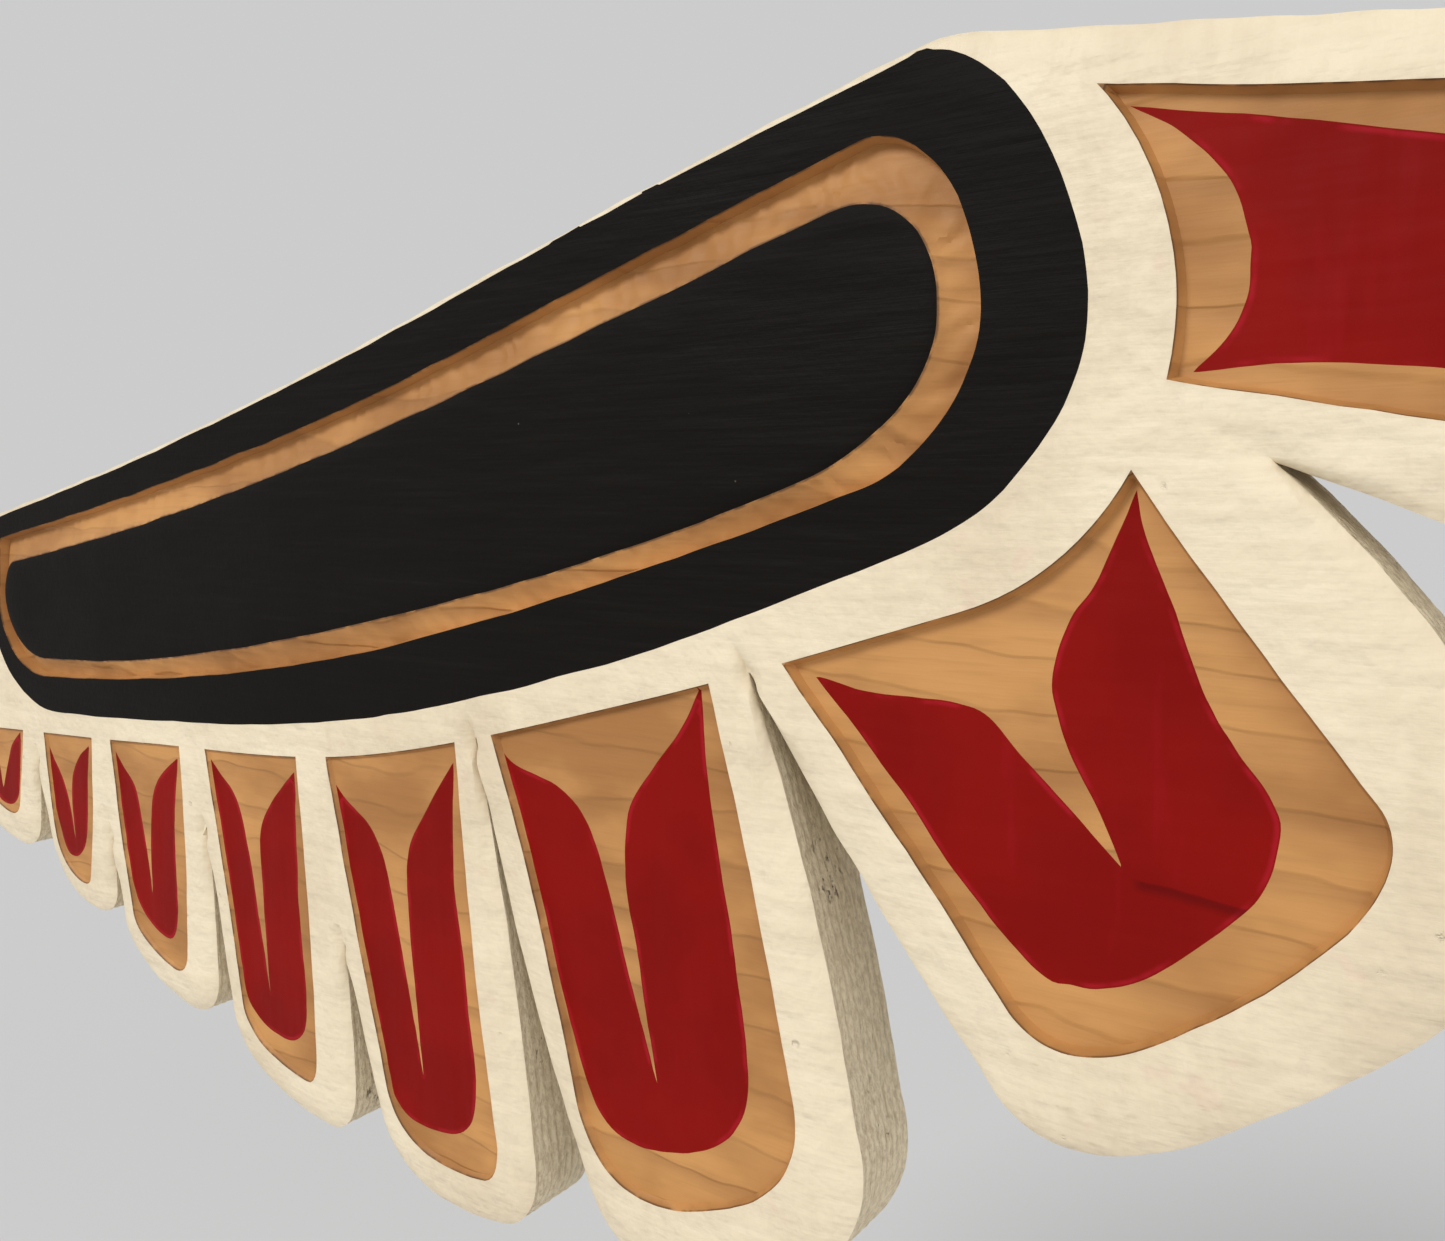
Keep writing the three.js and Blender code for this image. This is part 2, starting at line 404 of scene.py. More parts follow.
    def edge_line(self, edge: Callable, start: float, end: float) -> np.ndarray:
        """Points along an edge strictly between two places.

        Args:
            edge: Function that gives the edge's height.
            start: First place.
            end: Last place.

        Returns:
            The edge's points.
        """
        count = max(3, int(abs(end - start) / self.edge_spacing))
        x = np.linspace(start, end, count + 1)[1:-1]
        return np.column_stack([x, edge(x)])

    def outline(self, edges: tuple, start: float, end: float, near: FormEnd, far: FormEnd) -> np.ndarray:
        """Closed outline of a form between two edges.

        Args:
            edges: Functions of the form's two edges.
            start: Place of its near end.
            end: Place of its far end.
            near: Sizes of the near end.
            far: Sizes of the far end.

        Returns:
            The outline's points.
        """
        top, bottom = edges
        return np.vstack([
            self.rounded_end(edges, end, 1, far),
            self.edge_line(bottom, end - far.bottom_run, start + near.bottom_run),
            self.rounded_end(edges, start, -1, near)[::-1],
            self.edge_line(top, start + near.top_run, end - far.top_run),
        ])

    def black(self) -> np.ndarray:
        """Outline of the black arm."""
        return self.outline(self.black_edges(), self.start, self.end, self.near_end, self.far_end)

    def groove_outer(self) -> np.ndarray:
        """Outer line of the groove."""
        start, end = self.start + self.band_near, self.end - self.band_far
        return self.outline(self.groove_edges(), start, end, self.outer_near, self.outer_far)

    def groove_inner(self) -> np.ndarray:
        """Inner line of the groove, which is the raised form's outline.

        Returns:
            The outline's points.
        """
        start = self.start + self.band_near + self.groove_near
        end = self.end - self.band_far - self.groove_far
        return self.outline(self.inner_edges(), start, end, self.inner_near, self.inner_far)

    def collar(self) -> np.ndarray:
        """Outline of the collar, run on past the root cut.

        Returns:
            The outline's points.
        """
        edges = self.collar_edges()
        top, bottom = edges
        end = self.end + self.collar_reach
        far = self.collar_far_end
        return np.vstack([
            self.rounded_end(edges, end, 1, far),
            self.edge_line(bottom, end - far.bottom_run, 0.0),
            [(-self.start, float(bottom(0.0))), (-self.start, float(top(0.0)))],
            self.edge_line(top, 0.0, end - far.top_run),
        ])

    def root_line(self) -> np.ndarray:
        """Line that the feathers' roots share: the collar's lower edge and its far end.

        Returns:
            The line's points.
        """
        edges = self.collar_edges()
        end = self.end + self.collar_reach
        far = self.collar_far_end
        bottom = edges[1]
        return np.vstack([
            [(0.0, float(bottom(0.0)))],
            self.edge_line(bottom, 0.0, end - far.bottom_run),
            self.rounded_end(edges, end, 1, far)[::-1],
        ])


@dataclass(frozen=True)
class Side:
    """One side of a feather-like form.

    Args:
        half: Half width at the tip.
        corner: Length of the tip's rounding on this side.
        bow: Swell of the side.
        root: How far the root's end lies inside its share of the root line.
    """

    half: float
    corner: float
    bow: float
    root: float = 0.0


@dataclass(frozen=True)
class Rim:
    """Widths of the raised rim round a feather's panel, and the swell of the panel's sides."""

    near_root: float
    near_tip: float
    far_root: float
    far_tip: float
    end: float
    near_bow: float
    far_bow: float


@dataclass(frozen=True)
class Feather:
    """One hanging feather and its painted shape.

    Args:
        share: Part of the root line that the root takes, out of 442.
        rise: Height of the root above that line.
        tilt: Lean of the feather towards the tip, in degrees.
        length: Length from the root's middle to the tip.
        slant: Slant of the tip, in degrees.
        crown: Place of the tip's middle across the feather.
        near: Side towards the wing's root.
        far: Side towards the wing's tip.
        rim: Raised rim.
        inner: Inner line of the red shape, from the near horn down to the split's end.
        inner_back: The same line from the split's end up to the far horn.
        outer: Outer line of the red shape, from the far horn round to the near horn.
        reach: How far the root runs in under the collar.
    """

    share: float
    rise: float
    tilt: float
    length: float
    slant: float
    crown: float
    near: Side
    far: Side
    rim: Rim
    inner: tuple
    inner_back: tuple
    outer: tuple
    reach: float = 9.0

    def red(self) -> np.ndarray:
        """Outline of the red shape."""
        lines = [through(list(self.inner)), through(list(self.inner_back)), through(list(self.outer))]
        return np.vstack([line[:-1] for line in lines])


FEATHERS = (
    Feather(36, 1, 0, 34, 12, 1, Side(21, 8, 1), Side(15, 10, 1.5), Rim(6, 9, 5, 8, 8.5, 0.5, 1),
            inner=((8, -32), (13, -37), (15.5, -43), (17, -49)),
            inner_back=((17, -49), (19.5, -43), (23, -36), (29, -31)),
            outer=((29, -31), (28, -40), (26, -50), (21, -53.5), (14, -52), (10, -45), (8, -32))),
    Feather(35.5, -0.5, 5, 47, 16, 1, Side(17, 19, 2), Side(15.5, 10, 1.5), Rim(5, 6, 3.5, 10, 6.5, -0.5, 2),
            inner=((42.5, -30.5), (46.5, -36), (50.5, -41), (53.7, -47.5), (56.3, -58)),
            inner_back=((56.3, -58), (55.5, -47), (56.5, -40.5), (60.5, -34.8), (66, -31)),
            outer=((66, -31), (64, -42), (63, -53), (61, -60), (56.5, -63.3), (51, -61), (46, -48.5),
                   (42.5, -30.5))),
    Feather(41.7, -0.5, 7.5, 66.5, 21.5, 1.5, Side(22.5, 12, 2), Side(18.5, 17, 3),
            Rim(5, 8, 4.5, 10.5, 9, 1.5, 2.5),
            inner=((77.3, -28.8), (82.6, -34.6), (87.8, -40), (90.8, -50), (93.9, -67)),
            inner_back=((93.9, -67), (93.9, -57), (94.7, -48), (96.3, -39.7), (101.3, -33.8), (108, -29.3)),
            outer=((108, -29.3), (105, -50), (105.2, -68), (103.7, -75.5), (99.6, -77.6), (90, -73.4),
                   (84.5, -64),
                   (82, -50), (77.3, -28.8))),
    Feather(48.2, -0.5, 8.5, 85.5, 13.5, 10.5, Side(22, 17, 0.5), Side(22.5, 19, 3.5),
            Rim(5.5, 7, 6, 11.5, 9.5, -1, 1.5),
            inner=((120.5, -26.3), (126, -30.9), (132.4, -36.7), (136.5, -50), (139.6, -65), (143, -82.5)),
            inner_back=((143, -82.5), (142, -70), (141.3, -55), (141.3, -43), (145.5, -35.8), (155, -26.9)),
            outer=((155, -26.9), (154.8, -55), (156.6, -82), (154.3, -90.3), (147.5, -92.4), (136.7, -88.5),
                   (131.1, -78), (126.3, -50), (120.5, -26.3))),
    Feather(51.2, -0.5, 15, 101, 5, 4, Side(29.5, 22.5, 4.5), Side(16.6, 17, 3.5),
            Rim(5, 6, 2.5, 8.6, 9.5, 1, -2.5),
            inner=((166.8, -24.8), (173.1, -31), (181, -36), (185.5, -43.3), (188.6, -55), (192.5, -72),
                   (196.2, -88.3)),
            inner_back=((196.2, -88.3), (194.4, -70), (192.7, -53), (193, -40), (198.1, -31), (207.5, -18.3)),
            outer=((207.5, -18.3), (207, -42), (209.9, -65), (212.2, -87), (209.2, -96.5), (200, -99.6),
                   (189.6, -98), (182.3, -86), (174.7, -50), (166.8, -24.8))),
    Feather(67, 1.5, 14, 110, 0, -4, Side(25.5, 21, 5.5), Side(39.5, 30, 5), Rim(4, 2.5, 6.5, 12, 15, -4, 1.5),
            inner=((219.3, -12), (224.4, -16.5), (235.4, -19.4), (243.2, -25.2), (248.5, -37.6),
                   (254.6, -57), (259.9, -72.5)),
            inner_back=((259.9, -72.5), (256.1, -52), (252.9, -35), (253.7, -22), (259.4, -13.4),
                        (265.5, -5.8), (270.3, 3)),
            outer=((270.3, 3), (271.2, -10), (273.6, -25), (277.4, -45), (280.3, -67), (277, -77), (268.4, -83),
                   (255.9, -86), (246.1, -82), (239.2, -67), (228.4, -33), (219.3, -12))),
    Feather(82, 3.5, 31, 94, -3, -5.5, Side(30.5, 17.5, 3.5), Side(61.2, 25.5, 10),
            Rim(5.5, 10, 7.5, 20.2, 14.5, -1, -1.5),
            inner=((293.4, 6.3), (301.8, 4.8), (311.9, 4.4), (318.6, 4.2), (323.5, 2.6), (329, -3.1),
                   (335.4, -8.8),
                   (344.2, -17.2)),
            inner_back=((344.2, -17.2), (340.7, -9.8), (336.5, -2.5), (333.6, 5), (333.3, 10), (335.8, 18.3),
                        (339.7, 24.2), (344.5, 36.5)),
            outer=((344.5, 36.5), (346.5, 28.4), (350.9, 18.5), (354.2, 9.3), (358.9, 1.6), (363.6, -4.6),
                   (364.8, -9.5), (361.6, -19.3), (350.1, -30.9), (343.2, -35.1), (337.3, -36), (331.9, -34.9),
                   (319.6, -23.3), (309.2, -10.6), (293.4, 6.3))),
    Feather(75.5, 1.5, 78.5, 111.5, 5.5, -10.5, Side(39.3, 43.5, -5.5, 8),
            Side(30.8, 38, 0.5, 8.8), Rim(4.5, 19.3, 6.7, 8.8, 14, -0.5, -2.5), reach=20,
            inner=((342, 88), (348.3, 83.9), (355.2, 76.8), (358.2, 68)),
            inner_back=((358.2, 68), (357.9, 61), (355.5, 56), (351.5, 52)),
            outer=((351.5, 52), (362, 52.5), (380, 50.9), (400, 46), (412, 46.5), (417.5, 55), (415.5, 66),
                   (405, 71), (385, 76.8), (365, 82.3), (342, 88))),
)


@dataclass
class WingPlan:
    """Plan of the whole wing: every outline on its front face, in millimetres.

    Args:
        arm: Long form along the top.
        feathers: Feathers from the root to the tip.
        root_shares: Sum of the parts of the root line, with what is left past the last feather.
        panel_depths: Depth of each feather's panel.
        seen_from: Place of the plan straight in front of the camera.
        seen_at: Camera's distance from the front face.
        fullness: Fullness of the feathers' corners.
        panel_wall: Width that a panel's sloping wall takes.
        side_steps: Points on each curve of a feather's side.
        brush_waver: Waver of a painted line.
        knife_waver: Waver of a carved one.
    """

    arm: Arm = field(default_factory=Arm)
    feathers: tuple = FEATHERS
    root_shares: float = 442.0
    panel_depths: tuple = (0.9, 0.9, 0.9, 0.95, 1.1, 1.6, 2.2, 2.2)
    seen_from: tuple = (397.0, 35.0)
    seen_at: float = 175.0
    fullness: float = 0.62
    panel_wall: float = 0.8
    side_steps: int = 26
    brush_waver: float = 0.25
    knife_waver: float = 0.26

    def __post_init__(self) -> None:
        """Work out the outlines once."""
        arm = self.arm
        self.frames = self._feather_frames()
        self.collar = anticlockwise(arm.collar())
        self.black = hand_drawn(arm.black(), self.brush_waver, 1.0)
        self.groove = hand_drawn(arm.groove_outer(), self.knife_waver, 2.0)
        self.groove_foot = grown(self.groove, -arm.groove_wall)
        self.inner = hand_drawn(arm.groove_inner(), self.knife_waver, 3.0)
        self.outers = [
            self.feather_outline(f, feather, feather.near, feather.far, feather.length, feather.crown)
            for f, feather in zip(self.frames, self.feathers)
        ]
        self.panels = [
            hand_drawn(self._panel(f, feather), self.knife_waver, 4.0 + index)
            for index, (f, feather) in enumerate(zip(self.frames, self.feathers))
        ]
        self.reds = [
            hand_drawn(self._sunk(feather.red(), depth), self.brush_waver, 20.0 + index)
            for index, (feather, depth) in enumerate(zip(self.feathers, self.panel_depths))
        ]

    def _sunk(self, outline: np.ndarray, depth: float) -> np.ndarray:
        """Outline laid out on the front face as it is seen, moved to the panel's floor behind it."""
        foot = np.array(self.seen_from)
        return foot + (outline - foot) * (self.seen_at + depth) / self.seen_at

    def _feather_frames(self) -> list:
        """Place of each feather.

        Returns:
            The root's middle, tilt and half width of each.
        """
        line = self.arm.root_line()
        along = arc_lengths(line)
        reached = 0.0
        frames = []
        for feather in self.feathers:
            ends = []
            for share in (reached, reached + feather.share):
                at = share / self.root_shares * along[-1]
                ends.append(np.array([np.interp(at, along, line[:, axis]) for axis in (0, 1)]))
            reached += feather.share
            middle = (ends[0] + ends[1]) / 2 + (0.0, feather.rise)
            half = float(np.linalg.norm(ends[1] - ends[0])) / 2
            frames.append((middle, math.radians(feather.tilt), half))
        return frames

    def feather_outline(self, place: tuple, feather: Feather, near: Side, far: Side,
                        length: float, crown: float) -> np.ndarray:
        """Closed outline of a feather-like form.

        Args:
            place: Root's middle, tilt and half width.
            feather: Feather that gives the tip's slant and the root's reach.
            near: Side towards the wing's root.
            far: Side towards the wing's tip.
            length: Length to the tip.
            crown: Place of the tip's middle across the form.

        Returns:
            The outline's points, anticlockwise.
        """
        middle, tilt, half_root = place
        rise = math.tan(math.radians(feather.slant))
        tip = np.array([crown, length + rise * crown])
        full = self.fullness
        parts = []
        for sign, side in ((-1, near), (1, far)):
            root_half = half_root - side.root
            tip_v = length + sign * rise * side.half
            start_v = tip_v - side.corner
            start_u = sign * (root_half + (side.half - root_half) * start_v / tip_v)
            root = np.array([sign * root_half, -feather.reach])
            start = np.array([start_u, start_v])
            swell = (root + start) / 2 + (sign * side.bow, 0.0)
            side_u = start_u + (sign * side.half - start_u) * full
            side_handle = np.array([side_u, start_v + full * side.corner])
            tip_u = crown + (sign * side.half - crown) * full
            tip_handle = np.array([tip_u, length + rise * tip_u])
            t = np.linspace(0.0, 1.0, self.side_steps)[:, None]
            run = (1 - t) ** 2 * root + 2 * t * (1 - t) * swell + t**2 * start
            turn = ((1 - t) ** 3 * start + 3 * t * (1 - t) ** 2 * side_handle
                    + 3 * t**2 * (1 - t) * tip_handle + t**3 * tip)
            parts.append(np.vstack([run, turn[1:]]))
        local = np.vstack([parts[0], parts[1][::-1][1:]])
        across = np.array([math.cos(tilt), math.sin(tilt)])
        along = np.array([math.sin(tilt), -math.cos(tilt)])
        return anticlockwise(middle + local[:, :1] * across + local[:, 1:] * along)

    def _panel(self, place: tuple, feather: Feather) -> np.ndarray:
        """Outline of a feather's sunk panel, run on under the collar.

        Args:
            place: Root's middle, tilt and half width.
            feather: Feather that holds the panel.

        Returns:
            The outline's points, anticlockwise.
        """
        rim = feather.rim
        near_half = feather.near.half - rim.near_tip
        far_half = feather.far.half - rim.far_tip
        near_scale = near_half / feather.near.half
        far_scale = far_half / feather.far.half
        near = Side(
            near_half, feather.near.corner * near_scale, rim.near_bow, feather.near.root + rim.near_root)
        far = Side(far_half, feather.far.corner * far_scale, rim.far_bow, feather.far.root + rim.far_root)
        return self.feather_outline(
            place, feather, near, far, feather.length - rim.end, feather.crown * near_scale)


@dataclass
class Carving:
    """Depth of the carved front at any place of the plan, in millimetres.

    Args:
        plan: Outlines that are carved.
        wave: Depth of the knife's hollows on all of the front.
        far_gouge: Length, depth and width of the last notch's cut, as shares of the other cuts'.
        scoop: Depth of the cuts along the groove, then their pitch, their slow side's share and their waver.
        groove_rise: Power with which the groove's floor rises to the raised form.
        lip_reach: How fast the raised form's edge rounds off.
        panel_cut: Depth of the knife cuts on the panels' floors.
        panel_crown: How much shallower a panel is beside its wall, and panel_crown_reach how far in.
        rim_drop: Fall of a rim at its edge, and rim_run the width over which it falls.
        edge: Front sheet's outline, which the board gives, as it gives edge_takes and notches.
        edge_takes: Share of the rounding that each point of the edge takes.
        notches: Place and direction of the cut that leads from each notch.
    """

    plan: WingPlan
    wave: float = 0.16
    gouge_length: float = 7.0
    gouge_width: float = 1.25
    gouge_depth: float = 1.8
    far_gouge_from: float = 330.0
    far_gouge: tuple = (1.8, 0.5, 2.2)
    scoop: float = 0.75
    scoop_pitch: float = 5.2
    scoop_rise: float = 0.68
    scoop_waver: float = 1.1
    groove_rise: float = 0.85
    lip_reach: float = 1.1
    panel_cut: float = 0.13
    panel_crown: float = 0.125
    panel_crown_reach: float = 6.0
    rim_drop: float = 0.75
    rim_run: float = 7.0
    edge: np.ndarray | None = None
    edge_takes: np.ndarray | None = None
    notches: list = field(default_factory=list)

    def panel_of(self, points: np.ndarray) -> np.ndarray:
        """Number of the panel that each point lies in, or -1.

        Args:
            points: Places of the plan.

        Returns:
            One number for each point.
        """
        found = np.full(len(points), -1)
        open_ground = ~inside(points, self.plan.collar)
        for index, panel in enumerate(self.plan.panels):
            found[inside(points, panel) & open_ground] = index
        return found

    def finish_of(self, points: np.ndarray) -> np.ndarray:
        """Finish of the front at each point.

        Args:
            points: Places of the plan.

        Returns:
            The number of the finish at each point.
        """
        plan = self.plan
        result = np.full(len(points), Finish.WHITE.value)
        result[inside(points, plan.black)] = Finish.BLACK.value
        result[inside(points, plan.groove)] = Finish.WOOD.value
        result[inside(points, plan.inner)] = Finish.BLACK.value
        panel = self.panel_of(points)
        for index, red in enumerate(plan.reds):
            here = panel == index
            result[here] = Finish.WOOD.value
            floor = here & inside(points, grown(plan.panels[index], -plan.panel_wall))
            result[floor & inside(points, red)] = Finish.RED.value
        return result

    def depth(self, points: np.ndarray) -> np.ndarray:
        """Depth of the surface below the front face.

        Args:
            points: Places of the plan.

        Returns:
            One depth for each point.
        """
        carved = self._groove(points) + self._panels(points) + self.gouges(points)
        return self._waves(points) + self._rims(points) + carved

    def _rims(self, points: np.ndarray) -> np.ndarray:
        """Fall of the rims towards the feathers' edges, so that they are gently round.

        Args:
            points: Places of the plan.

        Returns:
            One depth for each point.
        """
        gap = distance(points, closed(self.edge))
        near = np.flatnonzero(gap < self.rim_run)
        away = np.linalg.norm(points[near][:, None, :] - self.edge[None, :, :], axis=2)
        takes = np.clip(self.edge_takes[away.argmin(axis=1)], 0.0, 1.0)
        result = np.zeros(len(points))
        result[near] = self.rim_drop * takes**2 * (1.0 - gap[near] / self.rim_run) ** 2
        return result

    def _waves(self, points: np.ndarray) -> np.ndarray:
        """Slight hollows that a flat knife leaves, on all of the front."""
        return self.wave * uneven(points, (1.0, 26.0, 13.0, 0.3), (0.5, 9.0, 6.0, 5.1))

    def _groove(self, points: np.ndarray) -> np.ndarray:
        """Groove with a steep outer wall and a floor that rises to the raised form in scooped cuts.

        Args:
            points: Places of the plan.

        Returns:
            One depth for each point.
        """
        plan, arm = self.plan, self.plan.arm
        result = np.zeros(len(points))
        here = inside(points, plan.groove) & ~inside(points, plan.inner)
        spots = points[here]
        outer = distance(spots, closed(plan.groove))
        inner = distance(spots, closed(plan.inner))
        share = inner / np.maximum(outer + inner, 1e-6)
        floor = arm.groove_lip + (arm.groove_depth - arm.groove_lip) * share**self.groove_rise
        ring = resample(closed(plan.inner), 1.0)
        along = np.array([np.linalg.norm(ring - spot, axis=1).argmin() for spot in spots], float)
        cut = (along / self.scoop_pitch + uneven(spots, (self.scoop_waver, 9.0, 9.0, 9.0))) % 1.0
        cut = np.minimum(cut / self.scoop_rise, (1.0 - cut) / (1.0 - self.scoop_rise))
        floor += self.scoop * cut * np.sin(math.pi * np.clip(share, 0.0, 1.0))
        result[here] = floor * smoothstep(outer / arm.groove_wall)
        raised = inside(points, plan.inner)
        edge = distance(points[raised], closed(plan.inner))
        result[raised] = arm.groove_lip * np.exp(-edge / self.lip_reach)
        return result

    def _panels(self, points: np.ndarray) -> np.ndarray:
        """Sunk panels, with knife cuts across their floors.

        Args:
            points: Places of the plan.

        Returns:
            One depth for each point.
        """
        plan = self.plan
        result = np.zeros(len(points))
        panel = self.panel_of(points)
        collar_line = closed(plan.collar)
        for index, outline in enumerate(plan.panels):
            here = panel == index
            spots = points[here]
            if not len(spots):
                continue
            wall = np.minimum(distance(spots, closed(outline)), distance(spots, collar_line))
            cuts = uneven(spots, (1.0, 4.0, 17.0, 31.0 + index), (0.6, 13.0, 2.6, 3.0))
            away = smoothstep((wall - plan.panel_wall) / self.panel_crown_reach)
            depth = plan.panel_depths[index] + self.panel_cut * cuts - self.panel_crown * (1.0 - away) ** 2
            result[here] = depth * smoothstep(wall / plan.panel_wall) ** 0.8
        return result

    def gouges(self, points: np.ndarray) -> np.ndarray:
        """Teardrop cuts that lead from each notch up into the collar.

        Args:
            points: Places of the plan.

        Returns:
            One depth for each point.
        """
        result = np.zeros(len(points))
        for apex, up in self.notches:
            offset = points - apex
            along = offset @ up
            across = offset @ np.array([-up[1], up[0]])
            longer, deeper, wider = self.far_gouge if apex[0] > self.far_gouge_from else (1.0, 1.0, 1.0)
            left = 1.0 - along / (self.gouge_length * longer)
            width = self.gouge_width * wider * np.clip(left, 0.2, 1.1)
            profile = np.exp(-((across / width) ** 2))
            fade = np.clip(left, 0.0, 1.0) ** 0.8 * smoothstep((along + 5.0) / 4.0)
            result = np.maximum(result, self.gouge_depth * deeper * profile * fade)
        return result


@dataclass
class WingBoard:
    """Carved board: its front sheet, rounded edges, rough side walls, root cut and back.

    Args:
        plan: Outlines of the board.
        carving: Depths of its front.
        thickness: Thickness of the board.
        rounding: How far the edges' rounding reaches in, and rounding_depth how far down.
        collar_share: Share of the rounding on the collar's edge.
        notch_share: Share of it at a notch, which grows to the whole over notch_reach.
        wall_step: Spacing of the rings down the side walls.
        ring_pitch: Spacing of the growth ridges on the side walls, and ring_depth their depth.
        fine: Mesh spacing past fine_from, then middle past middle_from, and coarse before it.
        sharp_angle: Turn past which an edge is shaded sharp, in degrees.
        corner_angle: Turn past which a point of the outline is a corner, in degrees.
        notch_angle: Turn inwards past which a corner is a notch, in degrees.
        root_clearance: Distance from the root cut within which the outline stays straight.
        shortest_stretch: Length below which a stretch between corners isn't divided.
        back_bevel: Width of the last ring before the back.
        cut_reach: Half length of the line that cuts the root.
        row_height: Height of a row of fill points, as a share of their spacing.
        mark_spacing: Spacing of the marks that fill points stay clear of, by clear_share of their spacing.
        fence_margin: How far a cut line runs on past the line that hides it.
        edge_margin: How far the painted lines stop short of the front sheet's edge.
        silhouette_share: Spacing along the silhouette, as a share of the mesh's.
        straight_share: Share of the rounding that is a bevel, the rest being round.
        gouge_reach: Distance from a notch at which its sides' direction is taken.
    """

    plan: WingPlan
    carving: Carving
    thickness: float
    rounding: float = 3.0
    rounding_depth: float = 1.8
    rounding_steps: int = 4
    collar_share: float = 0.33
    notch_share: float = 0.35
    notch_reach: float = 22.0
    knife_waver: float = 0.3
    wall_step: float = 0.4
    ring_pitch: float = 2.0
    ring_depth: float = 0.34
    fine_from: float = 285.0
    middle_from: float = 190.0
    fine: float = 0.95
    middle: float = 1.35
    coarse: float = 1.8
    sharp_angle: float = 34.0
    corner_angle: float = 28.0
    notch_angle: float = 45.0
    root_clearance: float = 1.0
    shortest_stretch: float = 1.2
    back_bevel: float = 0.5
    cut_reach: float = 90.0
    row_height: float = 0.866
    mark_spacing: float = 0.6
    clear_share: float = 0.52
    fence_margin: float = 1.5
    edge_margin: float = 0.25
    silhouette_share: float = 1.25
    straight_share: float = 0.7
    gouge_reach: float = 6.0

    def spacing(self, x: float) -> float:
        """Mesh spacing at a place along the wing, finer near its tip."""
        near = self.middle if x > self.middle_from else self.coarse
        return self.fine if x > self.fine_from else near

    def silhouette(self) -> np.ndarray:
        """Outline of the collar and the feathers joined, cut square at the root.

        Returns:
            The outline's points, anticlockwise, before they are spaced out.
        """
        outlines = [self.plan.collar, *self.plan.outers]
        points, edges = [], []
        for outline in outlines:
            first = len(points)
            points.extend(outline)
            edges.extend((first + k, first + (k + 1) % len(outline)) for k in range(len(outline)))
        edges.append((len(points), len(points) + 1))
        points.extend([(0.0, -self.cut_reach), (0.0, self.cut_reach)])
        flat, faces, middles = triangulated(points, edges, 1e-4)
        kept = np.zeros(len(faces), bool)
        for outline in outlines:
            kept |= inside(middles, outline)
        kept &= middles[:, 0] > 0.0
        border = {}
        for face, keep in zip(faces, kept):
            if keep:
                for a, b in zip(face, [*face[1:], face[0]]):
                    pair = frozenset((a, b))
                    border[pair] = None if pair in border else (a, b)
        follow = {}
        for pair in border.values():
            if pair:
                follow.setdefault(pair[0], []).append(pair[1])
        loops = []
        while follow:
            start = next(iter(follow))
            loop, at = [], start
            while at in follow:
                loop.append(at)
                choices = follow[at]
                after = choices.pop()
                if not choices:
                    del follow[at]
                at = after
            loops.append(loop)
        longest = max(loops, key=lambda loop: abs(area(flat[loop])))
        return anticlockwise(flat[longest])

    def spaced(self, outline: np.ndarray) -> tuple:
        """Evenly spaced outline that keeps its corners.

        Args:
            outline: Outline's points, anticlockwise.

        Returns:
            The new points, and a list of the numbers of those at notches.
        """
        ahead = np.roll(outline, -1, axis=0) - outline
        behind = outline - np.roll(outline, 1, axis=0)
        turn = np.arctan2(
            behind[:, 0] * ahead[:, 1] - behind[:, 1] * ahead[:, 0], np.einsum("ij,ij->i", ahead, behind))
        corners = np.flatnonzero(np.abs(turn) > math.radians(self.corner_angle))
        points, notches = [], []
        for first, last in zip(corners, np.roll(corners, -1)):
            count = (last - first) % len(outline)
            stretch = outline[np.arange(first, first + count + 1) % len(outline)]
            along = arc_lengths(stretch)
            if turn[first] < -math.radians(self.notch_angle) and stretch[0][0] > self.root_clearance:
                notches.append(len(points))
            if along[-1] < self.shortest_stretch:
                points.append(stretch[0])
                continue
            even = resample(stretch, self.spacing(float(stretch[:, 0].mean())) * self.silhouette_share)
            points.extend(even[:-1])
        even = np.array(points)
        out = normals(even)
        for index, (x, z) in enumerate(points):
            if x > self.root_clearance and index not in notches:
                even[index] += out[index] * self.knife_waver * noise.noise((x / 8.0, z / 8.0, 2.0))
        return even, notches

    def gouge_direction(self, outline: np.ndarray, notch: int) -> np.ndarray:
        """Direction of the cut that leads from a notch into the collar, between the notch's two sides.

        Args:
            outline: Spaced outline.
            notch: Number of the notch's point.

        Returns:
            The direction, of length 1.
        """
        sides = np.zeros(2)
        for step in (1, -1):
            index = notch
            while np.linalg.norm(outline[index] - outline[notch]) < self.gouge_reach:
                index = (index + step) % len(outline)
            away = outline[index] - outline[notch]
            sides += away / np.linalg.norm(away)
        return -sides / np.linalg.norm(sides)

    def rounding_share(self, outline: np.ndarray, notches: list) -> np.ndarray:
        """How much of the rounding each point takes: less on the collar's edge and near a notch.

        Args:
            outline: Spaced outline.
            notches: Numbers of the points at notches.

        Returns:
            One share for each point.
        """
        feathers = np.min([distance(outline, closed(outer)) for outer in self.plan.outers], axis=0)
        takes = np.where(feathers > 0.7, self.collar_share, 1.0)
        reach = 4
        takes = sum(np.roll(takes, shift) for shift in range(-reach, reach + 1)) / (2 * reach + 1)
        for notch in notches:
            gap = np.linalg.norm(outline - outline[notch], axis=1)
            takes *= self.notch_share + (1.0 - self.notch_share) * smoothstep(gap / self.notch_reach)
        return takes

